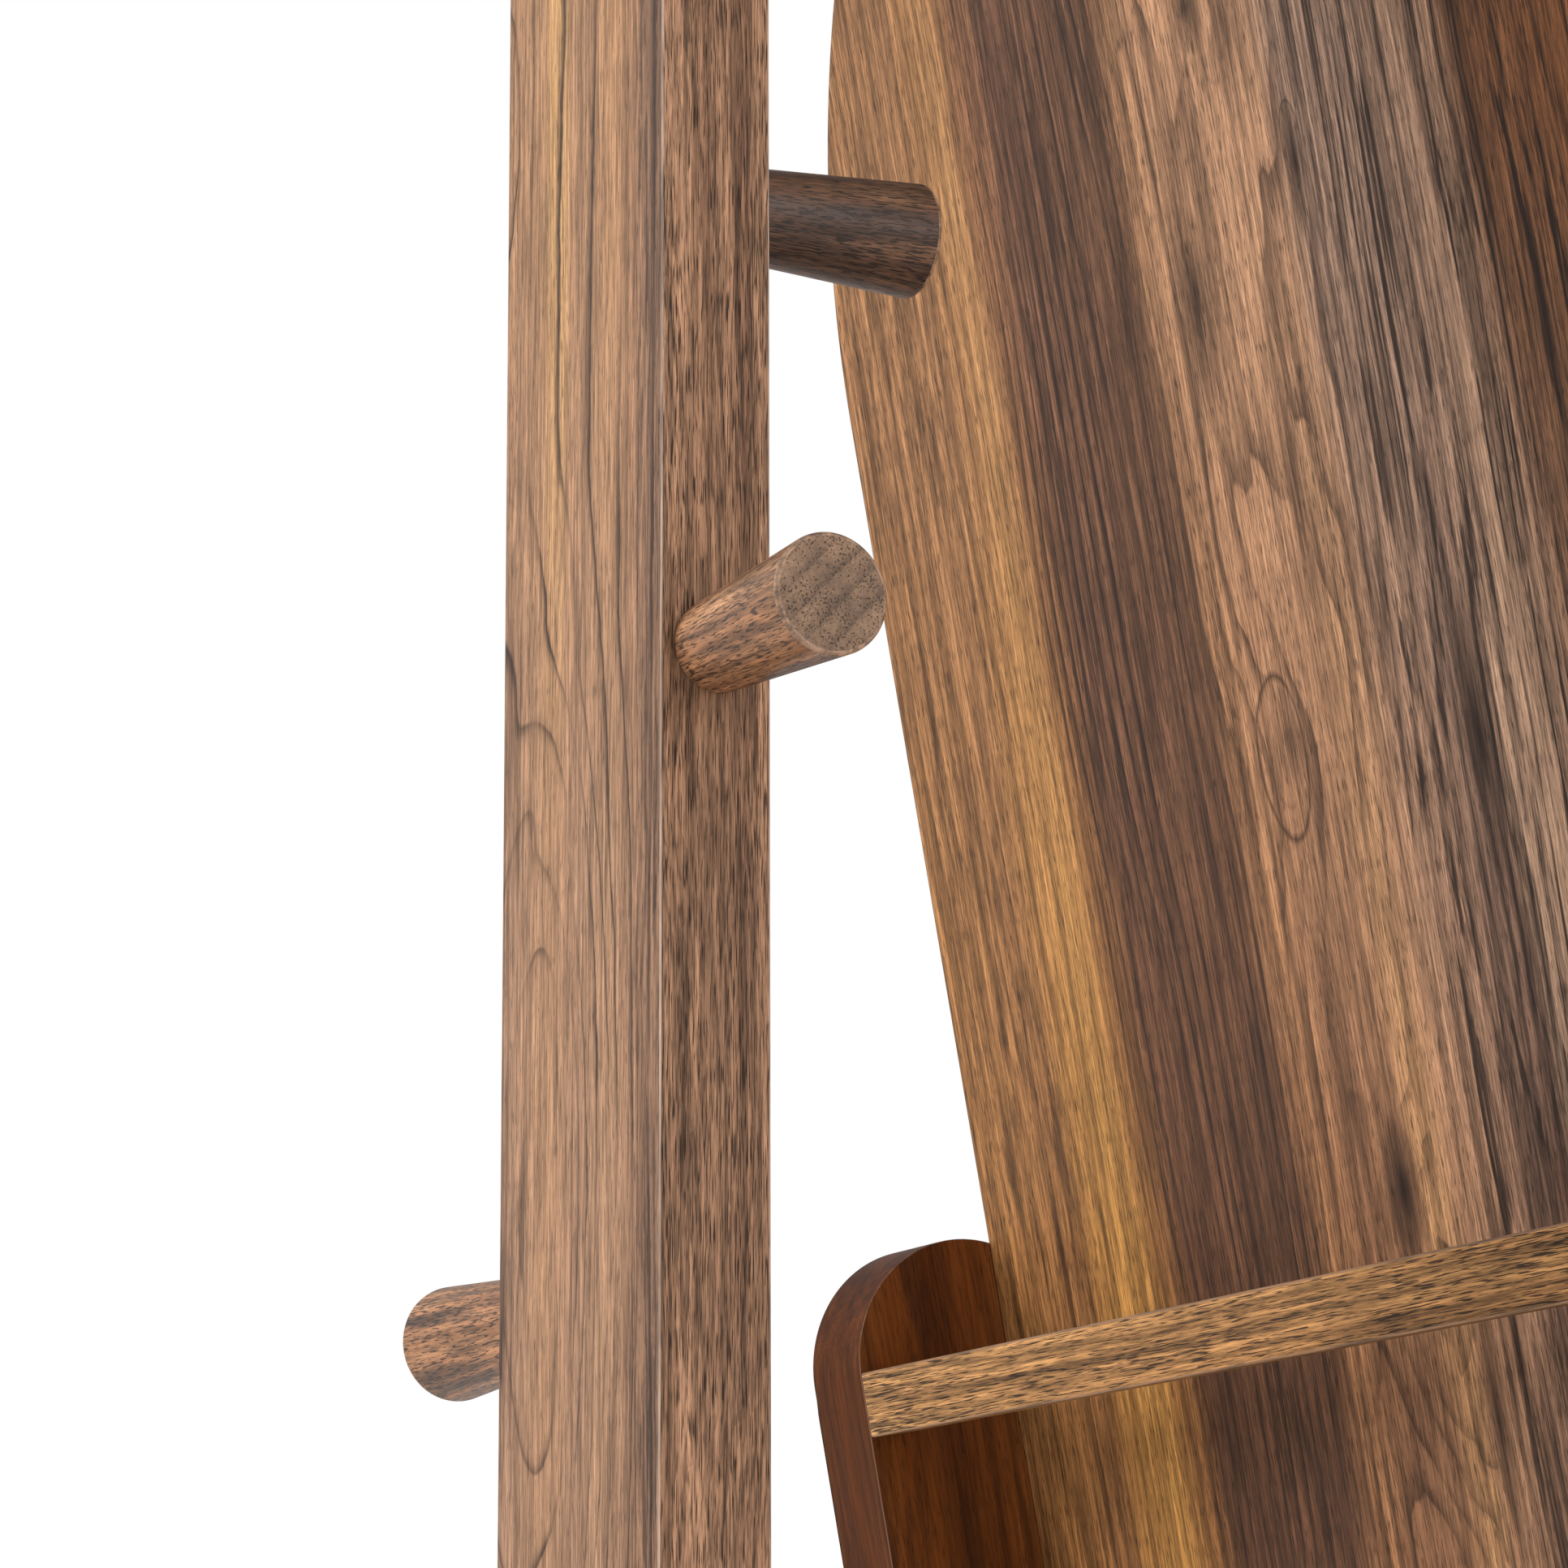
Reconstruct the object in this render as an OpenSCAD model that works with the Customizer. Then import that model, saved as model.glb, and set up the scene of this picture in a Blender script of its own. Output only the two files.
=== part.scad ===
// Folding coat stand with a leaning arched mirror and a fold-up luggage rack.
// The mirror frame leans on the floor, the coat post hangs from its back on one hinge,
// and the rack between them holds the two apart.
// The mirror looks along -Y, the post stands behind it on the +Y side, and Z = 0 is the floor.

/* [Whole stand] */
// Height of the fold hinge above the floor
hinge_height = 1588; // [1320:1:1910]
// Angle between the post and the mirror when the stand is open, in degrees
lean_angle = 10.43; // [8.5:0.01:12.6]
// Clear distance from the hinge pin to the front of the post
arm_reach = 132; // [115:1:160]
// Thickness of every rubber pad under the stand
pad_t = 4; // [3:0.5:6]

/* [Mirror board] */
// Width of the board, which is also the diameter of its arch
board_w = 516; // [430:1:620]
// Thickness of the board
board_t = 20; // [16:0.5:25]
// Height of the arch top over the hinge, measured along the board
board_over_hinge = 112; // [60:1:150]
// Gap below the board, measured along it
board_bottom = 60; // [50:1:75]
// Thickness of the mirror glass
glass_t = 4; // [3:0.5:6]
// Gap from the edge of the board to the edge of the glass
glass_inset = 4; // [2:0.5:10]
// Thickness of the tape behind the glass
tape_t = 0.5; // [0.5:0.1:1.5]

/* [Side legs] */
// Length of each side leg along the board
leg_len = 1219; // [1160:1:1330]
// Depth of each leg, front to back, which sets its round top
leg_depth = 76; // [70:0.5:92]
// Thickness of each leg, side to side
leg_t = 30; // [24:0.5:36]

/* [Pockets behind the board] */
// Height of every cross rail
rail_h = 19.5; // [16:0.5:30]
// Thickness of every cross rail
rail_t = 15; // [12:0.5:20]
// Distance from the top of the legs down to the top rail
rail_drop = 36; // [30:1:60]
// Distance between the upper and the lower pocket
pocket_pitch = 270; // [250:1:275]
// Depth of a pocket below its rail
pocket_depth = 130; // [100:1:135]
// Thickness of a pocket floor
shelf_t = 15; // [12:0.5:18]
// Height of the bottom rail's top along the legs
bottom_rail_top = 110; // [90:1:200]

/* [Coat post] */
// Width of the post, side to side
post_w = 90; // [75:1:108]
// Depth of the post, front to back
post_d = 30; // [25:0.5:36]
// Height of the post above the hinge
post_over_hinge = 172; // [150:1:210]
// Length of the foot under the post
foot_len = 420; // [360:1:500]
// Width of the foot
foot_w = 64; // [54:1:76]
// Height of the foot without its pads
foot_h = 36; // [30:1:44]

/* [Pegs] */
// How far each peg stands out of the post
peg_len = 60.5; // [50:0.5:73]
// Diameter of a peg where it meets the post
peg_base_d = 23; // [19:0.5:28]
// Diameter of a peg at its free end
peg_end_d = 30; // [25:0.5:36]
// Sideways offset of the pegs that face the mirror
front_peg_offset = -10; // [-15:0.5:15]
// Diameter of the stud inside each peg
stud_d = 6; // [5:0.5:8]
// Depth of the stud on each side of the joint
stud_reach = 20; // [15:1:22]

/* [Fold hinge] */
// Width of the hinge arm
arm_w = 50; // [40:1:60]
// Height of the hinge arm
arm_h = 40; // [34:1:46]
// Distance from the back of the board to each pivot line
pivot_back = 27; // [26:0.5:30]
// Diameter of the hinge pin
hinge_pin_d = 10; // [8:0.5:12]
// Thickness of the bracket's plate and ears
bracket_t = 4; // [3:0.5:5]

/* [Luggage rack] */
// Height of the rack's pivot above the floor
rack_height = 375; // [330:1:378]
// Height of the rack's side rails
rack_side_h = 34; // [30:1:38]
// Thickness of the rack's side rails
rack_side_t = 20; // [16:0.5:24]
// Gap between neighbouring slats, which sets their width
slat_gap = 11.57; // [8:0.01:18]
// Thickness of a slat
slat_t = 12; // [10:0.5:14]
// Width of the battens that carry the slats
batten_w = 24; // [20:1:28]
// Diameter of the rack's pivot pins
rack_pin_d = 8; // [6:0.5:10]
// Drop of the stop lips behind the cross bar
lip_drop = 14; // [10:1:18]
// Depth of the cross bar, front to back
bar_d = 22; // [18:1:26]
// Height of the cross bar
bar_h = 36; // [30:1:44]

/* [Fixings] */
// Diameter of the frame bolts
bolt_d = 6; // [5:0.5:8]
// Diameter of the post bolts
post_bolt_d = 8; // [6:0.5:9]
// Diameter of the screws in the hinge plate
plate_screw_d = 5; // [4:0.5:6]
// Diameter of the screws in the slats
screw_d = 4; // [3:0.5:4.5]

/* [Clearances] */
// Gap beside a moving face
side_gap = 0.3; // [0.3:0.05:0.5]
// Radial clearance of a pin that turns
run_gap = 0.05; // [0.03:0.01:0.09]
// Radial gap around a fixed bolt or screw
bolt_gap = 0.1; // [0.05:0.05:0.2]
// Gap between the post and the slats beside it
post_gap = 7; // [5:0.5:10]
// Thickness of the nylon washers beside the moving parts
washer_t = 1; // [0.8:0.1:1.2]
// Gap between the cross bar and the stop lips
lip_gap = 0.5; // [0.4:0.1:1.5]

/* [Hidden] */
$fn = 64;

SIDES = [-1, 1];
WALNUT = [0.45, 0.31, 0.21];
DARK_WALNUT = [0.30, 0.19, 0.13];
GOLD_WALNUT = [0.58, 0.42, 0.26];
RED_WALNUT = [0.34, 0.19, 0.11];
BRASS = [0.72, 0.58, 0.33];
STEEL = [0.55, 0.55, 0.57];
BLACK_RUBBER = [0.09, 0.09, 0.09];

// Where the mirror frame and the post stand
leg_front = -(board_t + tape_t + glass_t);
back_reach = leg_depth + leg_front;
hinge_from_post = post_d / 2 + arm_reach;
foot_spread = hinge_from_post + pivot_back / cos(lean_angle) + hinge_height * tan(lean_angle);
front_reach = foot_spread - leg_front / cos(lean_angle) - pad_t * tan(lean_angle);
back_extent = post_d / 2 + peg_len;
post_y = (front_reach - back_extent) / 2;
board_foot_y = post_y - foot_spread;
hinge_y = post_y - hinge_from_post;
hinge_up = board_height(hinge_height, pivot_back);

// The board, its glass and the pieces between the legs
board_top = hinge_up + board_over_hinge;
leg_round = leg_depth / 2;
rail_tops = [leg_len - rail_drop, leg_len - rail_drop - pocket_pitch, bottom_rail_top];
floor_tops = [rail_tops[0] - pocket_depth, rail_tops[1] - pocket_depth];
tape_w = 30;
tape_margin = 60;
tape_drop = 160;
leg_pad_inset = 3;
leg_pad_toe = 8;
leg_pad_heel = 4;

// Bolts through the legs
bolt_head_d = 14;
bolt_head_h = 3;
bolt_grip = 30;
board_bolt_heights = [160, 620, 1120];
fixing_points = concat(
    [for (t = rail_tops) [back_reach - rail_t / 2, t - rail_h / 2]],
    [for (t = floor_tops) [back_reach / 2, t - shelf_t / 2]],
    [for (h = board_bolt_heights) [-board_t / 2, h]]);

// The post, its pegs and its foot
post_bottom = pad_t + foot_h;
post_top = hinge_height + post_over_hinge;
BACK = 0;
LEFT = 90;
FRONT = 180;
RIGHT = 270;
// Each peg's distance below the top of the post, and the face of the post that it stands on
pegs = [[60, BACK], [130, LEFT], [210, RIGHT], [346, FRONT],
        [470, LEFT], [624, RIGHT], [740, BACK], [870, LEFT]];
post_bolt_head_d = 18;
post_bolt_head_h = 5;
post_bolt_pitch = 22;
post_bolt_grip = 50;
cross_bar_skin = 4;
cross_bar_end_gap = 5;
foot_pad_d = 40;
foot_pad_inset = 40;

// The hinge
ear_gap = washer_t + side_gap;
ear_wall = 9;
ear_round = hinge_pin_d / 2 + ear_wall;
flange_w = 20;
plate_overhang = 11;
plate_h = 2 * (ear_round + plate_overhang);
plate_screw_x = arm_w / 2 + ear_gap + bracket_t + flange_w / 2;
plate_screw_inset = 8;
plate_screw_pitch = plate_h - 2 * plate_screw_inset;
plate_screw_len = 16;
plate_screw_head_d = 2 * plate_screw_d;
plate_screw_head_h = 2;
hinge_bush_wall = 2;
hinge_head_rim = 3.5;
hinge_head_d = hinge_pin_d + 2 * hinge_head_rim;
hinge_head_h = 3;
hinge_washer_rim = 2;
hinge_nut_h = 5;
ear_outer = arm_w / 2 + ear_gap + bracket_t;

// The rack, measured from its pivot line: along the slats and up
rack_pin_y = board_foot_y + pivot_back / cos(lean_angle) + rack_height * tan(lean_angle);
rack_pin_up = board_height(rack_height, pivot_back);
rack_len = post_y - rack_pin_y;
rack_outer = board_w / 2 - washer_t - side_gap;
rack_inner = rack_outer - rack_side_t;
slat_top = rack_side_h / 2;
batten_h = rack_side_h - slat_t;
slat_from = post_w / 2 + post_gap;
slats_per_side = 3;
slat_pitch = (rack_inner - slat_from) / slats_per_side;
slat_w = slat_pitch - slat_gap;
rack_front = 26;
middle_batten_at = 84;
bar_back = rack_len - post_d / 2;
lip_from = bar_back + lip_gap;
batten_past_bar = 2;
rear_batten_at = bar_back - batten_w + batten_past_bar;
batten_places = [rack_front, middle_batten_at, rear_batten_at];
rack_pad_t = 2;
rack_pad_inset = 2;
rack_pad_end = 8;
bar_top = rack_height - rack_side_h / 2 - rack_pad_t - side_gap;
bar_len = board_w - 2 * cross_bar_end_gap;
rack_bush_wall = 2;
rack_head_d = 16;
rack_bolt_len = 50;
rack_bolt_head_d = 12;
slat_screw_grip = 14;
slat_screw_len = slat_t + slat_screw_grip;
slat_screw_past_bolt = 1;
slat_screw_head_d = 2 * screw_d;
slat_screw_head_h = 2;

// Distance along the board to a point at height z that lies back behind the board
function board_height(z, back) = (z + back * sin(lean_angle)) / cos(lean_angle);

// Places children in the leaning frame: Y is the distance behind the board, Z runs up the board
module on_board() translate([0, board_foot_y, 0]) rotate([-lean_angle, 0, 0]) children();

// Places children at the rack's pivot line: Y runs along the slats
module on_rack() translate([0, rack_pin_y, rack_height]) children();

// Turns a cylinder along X, starting at the origin
module along_x(length, d) rotate([0, 90, 0]) cylinder(h = length, d = d);

// Turns a cylinder towards -Y, starting at the origin
module towards_front(length, d) rotate([90, 0, 0]) cylinder(h = length, d = d);

// A block whose X is centred
module block(w, y0, y1, z0, z1) translate([-w / 2, y0, z0]) cube([w, y1 - y0, z1 - z0]);

// A sheet in the plane of the board, from its front face backwards
module sheet(front, t) translate([0, front + t, 0]) rotate([90, 0, 0]) linear_extrude(t) children();

module arch_outline(inset) {
    r = board_w / 2 - inset;
    centre = board_top - board_w / 2;
    translate([-r, board_bottom + inset]) square([2 * r, centre - board_bottom - inset]);
    translate([0, centre]) circle(r = r, $fn = 180);
}

// A bolt with a flat head, lying along X from its head's outer face
module side_bolt(length, d, head_d, head_h, gap = 0) {
    along_x(head_h + gap, head_d + 2 * gap);
    along_x(length + gap, d + 2 * gap);
}

// The same bolt on both sides of the stand, its head flush with the plane x = outer
module on_both_sides(outer) for (side = SIDES)
    mirror([side < 0 ? 0 : 1, 0, 0]) translate([-outer, 0, 0]) children();

module frame_bolt_set(gap = 0) on_board() on_both_sides(board_w / 2 + leg_t)
    for (p = fixing_points) translate([0, p[0], p[1]])
        side_bolt(leg_t + bolt_grip, bolt_d, bolt_head_d, bolt_head_h, gap);

module rack_pin_set(gap = 0) on_board() on_both_sides(board_w / 2 + leg_t)
    translate([0, pivot_back, rack_pin_up])
        side_bolt(leg_t + rack_side_t + side_gap, rack_pin_d, rack_head_d, bolt_head_h, gap);

module arch_board() color(WALNUT) difference() {
    on_board() sheet(-board_t, board_t) arch_outline(0);
    frame_bolt_set(bolt_gap);
    bracket_screw_set(bolt_gap);
}

module mirror_glass() color([0.75, 0.80, 0.83])
    on_board() sheet(leg_front, glass_t) arch_outline(glass_inset);

module mirror_tape() color(BLACK_RUBBER) on_board()
    for (side = SIDES) translate([side * (board_w / 2 - tape_margin), 0, 0])
        block(tape_w, -board_t - tape_t, -board_t, board_bottom + tape_margin, board_top - tape_drop);

module leg(side) color(RED_WALNUT) difference() {
    on_board() translate([side * (board_w + leg_t) / 2, 0, 0]) {
        block(leg_t, leg_front, back_reach, -leg_depth, leg_len - leg_round);
        translate([-leg_t / 2, leg_front + leg_round, leg_len - leg_round])
            along_x(leg_t, leg_depth);
    }
    translate([0, board_foot_y, 0])
        block(2 * board_w, -2 * leg_depth, 2 * leg_depth, -2 * leg_depth, pad_t);
    frame_bolt_set(bolt_gap);
    rack_pin_set(bolt_gap);
}

module cross_rail(top) color(GOLD_WALNUT) difference() {
    on_board() block(board_w, back_reach - rail_t, back_reach, top - rail_h, top);
    frame_bolt_set(bolt_gap);
}

module pocket_floor(top) color(WALNUT) difference() {
    on_board() block(board_w, 0, back_reach, top - shelf_t, top);
    frame_bolt_set(bolt_gap);
}

module frame_bolts() color(BRASS) frame_bolt_set();

module leg_pads() color(BLACK_RUBBER) for (side = SIDES)
    translate([side * (board_w + leg_t) / 2, board_foot_y, 0])
        block(leg_t - 2 * leg_pad_inset, leg_front + leg_pad_toe, back_reach - leg_pad_heel,
              0, pad_t);

// Screws through the bracket's plate into the board
module bracket_screw_set(gap = 0) on_board()
    for (x = SIDES, z = SIDES)
        translate([x * plate_screw_x, bracket_t, hinge_up + z * plate_screw_pitch / 2])
            towards_front(plate_screw_len + gap, plate_screw_d + 2 * gap);

module bracket_screws() color(BRASS) {
    bracket_screw_set();
    on_board() for (x = SIDES, z = SIDES)
        translate([x * plate_screw_x, bracket_t + plate_screw_head_h,
                   hinge_up + z * plate_screw_pitch / 2])
            towards_front(plate_screw_head_h, plate_screw_head_d);
}

module hinge_bracket() color(BRASS) difference() {
    on_board() translate([0, 0, hinge_up]) {
        block(2 * (ear_outer + flange_w), 0, bracket_t, -plate_h / 2, plate_h / 2);
        for (side = SIDES) translate([side * (ear_outer - bracket_t / 2), 0, 0]) {
            block(bracket_t, 0, pivot_back, -ear_round, ear_round);
            translate([-bracket_t / 2, pivot_back, 0]) along_x(bracket_t, 2 * ear_round);
        }
    }
    bracket_screw_set(bolt_gap);
    translate([-ear_outer, hinge_y, hinge_height])
        along_x(2 * ear_outer, hinge_pin_d + 2 * bolt_gap);
}

module hinge_pin() color(STEEL) translate([-ear_outer, hinge_y, hinge_height]) {
    translate([-hinge_nut_h, 0, 0]) along_x(2 * ear_outer + hinge_nut_h, hinge_pin_d);
    translate([2 * ear_outer, 0, 0]) along_x(hinge_head_h, hinge_head_d);
}

module hinge_nut() color(STEEL) translate([-ear_outer - hinge_nut_h, hinge_y, hinge_height])
    difference() {
        rotate([0, 90, 0]) cylinder(h = hinge_nut_h, d = hinge_head_d, $fn = 6);
        along_x(hinge_nut_h, hinge_pin_d + 2 * bolt_gap);
    }

module hinge_washers() color([0.85, 0.83, 0.78]) for (side = SIDES)
    translate([side * (ear_outer - bracket_t - washer_t / 2) - washer_t / 2, hinge_y,
               hinge_height]) difference() {
        along_x(washer_t, hinge_head_d + 2 * hinge_washer_rim);
        along_x(washer_t, hinge_pin_d + 2 * bolt_gap);
    }

module rack_pins() color(STEEL) rack_pin_set();

module rack_washers() color([0.85, 0.83, 0.78]) for (side = SIDES)
    on_rack() translate([side * (board_w - washer_t) / 2 - washer_t / 2, 0, 0]) difference() {
        along_x(washer_t, rack_head_d);
        along_x(washer_t, rack_pin_d + 2 * bolt_gap);
    }

// Children are placed at a peg's foot on the post, with Z pointing out of the post
module at_peg(peg) {
    sideways = peg[1] == LEFT || peg[1] == RIGHT;
    out = (sideways ? post_w : post_d) / 2;
    offset_x = peg[1] == FRONT ? front_peg_offset : 0;
    translate([offset_x, post_y, post_top - peg[0]]) rotate([0, 0, peg[1]])
        translate([0, out, 0]) rotate([-90, 0, 0]) children();
}

module stud(gap = 0) translate([0, 0, -stud_reach - gap])
    cylinder(h = 2 * (stud_reach + gap), d = stud_d + 2 * gap);

module peg(number) color(DARK_WALNUT) at_peg(pegs[number - 1]) difference() {
    cylinder(h = peg_len, d1 = peg_base_d, d2 = peg_end_d);
    stud(bolt_gap);
}

module peg_studs() color(STEEL) for (p = pegs) at_peg(p) stud();

// A bolt from a recess in the back of the post towards the front
module post_bolt(x, z, grip, gap = 0) translate([x, post_y + post_d / 2, z]) {
    towards_front(post_bolt_head_h + gap, post_bolt_head_d + 2 * gap);
    towards_front(post_d + grip + gap, post_bolt_d + 2 * gap);
}

module arm_bolt_set(gap = 0) for (side = SIDES)
    post_bolt(0, hinge_height + side * post_bolt_pitch / 2, post_bolt_grip, gap);

module cross_bar_bolt_set(gap = 0) for (side = SIDES)
    post_bolt(side * post_bolt_pitch, bar_top - bar_h / 2, bar_d - cross_bar_skin, gap);

module foot_bolt_set(gap = 0) for (side = SIDES)
    translate([side * post_bolt_pitch, post_y, pad_t]) {
        cylinder(h = post_bolt_head_h + gap, d = post_bolt_head_d + 2 * gap);
        cylinder(h = foot_h + post_bolt_grip + gap, d = post_bolt_d + 2 * gap);
    }

module coat_post() color(WALNUT) difference() {
    translate([0, post_y, 0]) block(post_w, -post_d / 2, post_d / 2, post_bottom, post_top);
    for (p = pegs) at_peg(p) stud(bolt_gap);
    arm_bolt_set(bolt_gap);
    cross_bar_bolt_set(bolt_gap);
    foot_bolt_set(bolt_gap);
}

module hinge_arm() color(WALNUT) difference() {
    union() {
        translate([0, hinge_y, hinge_height]) block(arm_w, 0, arm_reach, -arm_h / 2, arm_h / 2);
        translate([-arm_w / 2, hinge_y, hinge_height]) along_x(arm_w, arm_h);
    }
    translate([-arm_w / 2, hinge_y, hinge_height])
        along_x(arm_w, hinge_pin_d + 2 * (run_gap + hinge_bush_wall));
    arm_bolt_set(bolt_gap);
}

module bush(length, pin_d, wall) difference() {
    along_x(length, pin_d + 2 * (run_gap + wall));
    along_x(length, pin_d + 2 * run_gap);
}

module arm_bush() color(BRASS) translate([-arm_w / 2, hinge_y, hinge_height])
    bush(arm_w, hinge_pin_d, hinge_bush_wall);

module arm_bolts() color(BRASS) arm_bolt_set();

module foot_bar() color(WALNUT) difference() {
    translate([0, post_y, pad_t]) linear_extrude(foot_h) {
        square([foot_len - foot_w, foot_w], center = true);
        for (side = SIDES) translate([side * (foot_len - foot_w) / 2, 0]) circle(d = foot_w);
    }
    foot_bolt_set(bolt_gap);
}

module foot_bolts() color(STEEL) foot_bolt_set();

module foot_pads() color(BLACK_RUBBER) for (side = SIDES)
    translate([side * (foot_len / 2 - foot_pad_inset), post_y, 0])
        cylinder(h = pad_t, d = foot_pad_d);

module cross_bar() color(WALNUT) difference() {
    translate([0, post_y - post_d / 2, bar_top]) block(bar_len, -bar_d, 0, -bar_h, 0);
    cross_bar_bolt_set(bolt_gap);
}

module cross_bar_bolts() color(BRASS) cross_bar_bolt_set();

module rack_bolt_set(gap = 0) on_rack() on_both_sides(rack_outer)
    for (place = batten_places) translate([0, place + batten_w / 2, -slat_t / 2])
        side_bolt(rack_bolt_len, bolt_d, rack_bolt_head_d, bolt_head_h, gap);

module rack_side(side) color(WALNUT) difference() {
    on_rack() translate([side * (rack_outer - rack_side_t / 2), 0, 0]) {
        block(rack_side_t, 0, rack_len, -rack_side_h / 2, rack_side_h / 2);
        translate([-rack_side_t / 2, 0, 0]) along_x(rack_side_t, rack_side_h);
        block(rack_side_t, lip_from, rack_len, -rack_side_h / 2 - lip_drop, 0);
    }
    on_rack() translate([-rack_outer, 0, 0])
        along_x(2 * rack_outer, rack_pin_d + 2 * (run_gap + rack_bush_wall));
    rack_bolt_set(bolt_gap);
}

module rack_bushes() color(BRASS) for (side = SIDES)
    on_rack() translate([side * (rack_outer - rack_side_t / 2) - rack_side_t / 2, 0, 0])
        bush(rack_side_t, rack_pin_d, rack_bush_wall);

function slat_x(number) = number <= slats_per_side
    ? -(slat_from + slat_w / 2 + (slats_per_side - number) * slat_pitch)
    : slat_from + slat_w / 2 + (number - slats_per_side - 1) * slat_pitch;

module slat_screw_set(gap = 0) on_rack()
    for (number = [1 : 2 * slats_per_side], place = batten_places)
        translate([slat_x(number), place + batten_w / 2 + bolt_d + slat_screw_past_bolt,
                   slat_top]) {
            translate([0, 0, -slat_screw_len - gap])
                cylinder(h = slat_screw_len + gap, d = screw_d + 2 * gap);
            translate([0, 0, -slat_screw_head_h - gap])
                cylinder(h = slat_screw_head_h + gap, d = slat_screw_head_d + 2 * gap);
        }

module full_batten(place) color(WALNUT) difference() {
    on_rack() block(2 * rack_inner, place, place + batten_w, slat_top - slat_t - batten_h,
                    slat_top - slat_t);
    rack_bolt_set(bolt_gap);
    slat_screw_set(bolt_gap);
}

module rear_batten(side) color(WALNUT) difference() {
    on_rack() translate([side * (rack_inner + slat_from) / 2, 0, 0])
        block(rack_inner - slat_from, rear_batten_at, rear_batten_at + batten_w,
              slat_top - slat_t - batten_h, slat_top - slat_t);
    rack_bolt_set(bolt_gap);
    slat_screw_set(bolt_gap);
}

module rack_slat(number) color(GOLD_WALNUT) difference() {
    on_rack() translate([slat_x(number), 0, 0])
        block(slat_w, rack_front, rack_len, slat_top - slat_t, slat_top);
    slat_screw_set(bolt_gap);
}

module slat_screws() color(BRASS) slat_screw_set();

module rack_bolts() color(BRASS) rack_bolt_set();

module rack_pads() color(BLACK_RUBBER) on_rack() for (side = SIDES)
    translate([side * (rack_inner + slat_from) / 2, 0, 0])
        block(rack_inner - slat_from - 2 * rack_pad_end, bar_back - bar_d + rack_pad_inset,
              bar_back - rack_pad_inset, -rack_side_h / 2 - rack_pad_t, -rack_side_h / 2);

arch_board();
mirror_glass();
mirror_tape();
leg(-1);  // left_leg
leg(1);  // right_leg
cross_rail(rail_tops[0]);  // top_rail
cross_rail(rail_tops[1]);  // lower_rail
cross_rail(rail_tops[2]);  // bottom_rail
pocket_floor(floor_tops[0]);  // top_pocket_floor
pocket_floor(floor_tops[1]);  // lower_pocket_floor
frame_bolts();
leg_pads();
hinge_bracket();
bracket_screws();
hinge_pin();
hinge_nut();
hinge_washers();
rack_pins();
rack_washers();
coat_post();
peg(1);  // peg_1
peg(2);  // peg_2
peg(3);  // peg_3
peg(4);  // peg_4
peg(5);  // peg_5
peg(6);  // peg_6
peg(7);  // peg_7
peg(8);  // peg_8
peg_studs();
hinge_arm();
arm_bush();
arm_bolts();
foot_bar();
foot_bolts();
foot_pads();
cross_bar();
cross_bar_bolts();
rack_side(-1);  // rack_side_left
rack_side(1);  // rack_side_right
full_batten(rack_front);  // front_batten
full_batten(middle_batten_at);  // middle_batten
rear_batten(-1);  // rear_batten_left
rear_batten(1);  // rear_batten_right
rack_slat(1);  // rack_slat_1
rack_slat(2);  // rack_slat_2
rack_slat(3);  // rack_slat_3
rack_slat(4);  // rack_slat_4
rack_slat(5);  // rack_slat_5
rack_slat(6);  // rack_slat_6
slat_screws();
rack_bolts();
rack_bushes();
rack_pads();
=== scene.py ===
import math
import bmesh
import bpy
from mathutils import Matrix, Vector


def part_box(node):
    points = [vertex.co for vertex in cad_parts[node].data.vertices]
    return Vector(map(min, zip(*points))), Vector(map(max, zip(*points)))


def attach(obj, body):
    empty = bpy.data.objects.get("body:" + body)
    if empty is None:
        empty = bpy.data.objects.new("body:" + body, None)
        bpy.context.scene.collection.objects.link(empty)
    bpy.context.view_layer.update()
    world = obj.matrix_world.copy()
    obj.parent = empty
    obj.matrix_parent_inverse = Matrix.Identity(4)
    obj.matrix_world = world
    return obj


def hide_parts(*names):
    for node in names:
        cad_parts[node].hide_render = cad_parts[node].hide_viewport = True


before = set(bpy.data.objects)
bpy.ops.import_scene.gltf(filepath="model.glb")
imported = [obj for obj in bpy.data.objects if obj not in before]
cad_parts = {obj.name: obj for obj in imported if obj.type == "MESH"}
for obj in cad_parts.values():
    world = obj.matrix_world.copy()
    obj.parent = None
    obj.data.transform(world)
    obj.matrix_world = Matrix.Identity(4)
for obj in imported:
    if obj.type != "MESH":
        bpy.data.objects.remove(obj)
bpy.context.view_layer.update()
print("frame loaded,", len(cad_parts), "pieces")

# The mirror frame leans back by this angle; its own Z runs up the board and its own Y points behind it
leanAngle = math.radians(10.43)
upright = Matrix.Identity(4)
leaning = Matrix.Rotation(-leanAngle, 4, "X")
mm = 0.001
quarter = math.pi / 2
weld = 0.01 * mm                    # loose corners of a CAD mesh closer than this are one


def cornersOf(points):
    low = Vector([min(p[i] for p in points) for i in range(3)])
    high = Vector([max(p[i] for p in points) for i in range(3)])
    return low, high


def nodeCorners(nodeName, turn=upright):
    back = turn.inverted()
    return cornersOf([back @ v.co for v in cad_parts[nodeName].data.vertices])


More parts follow.
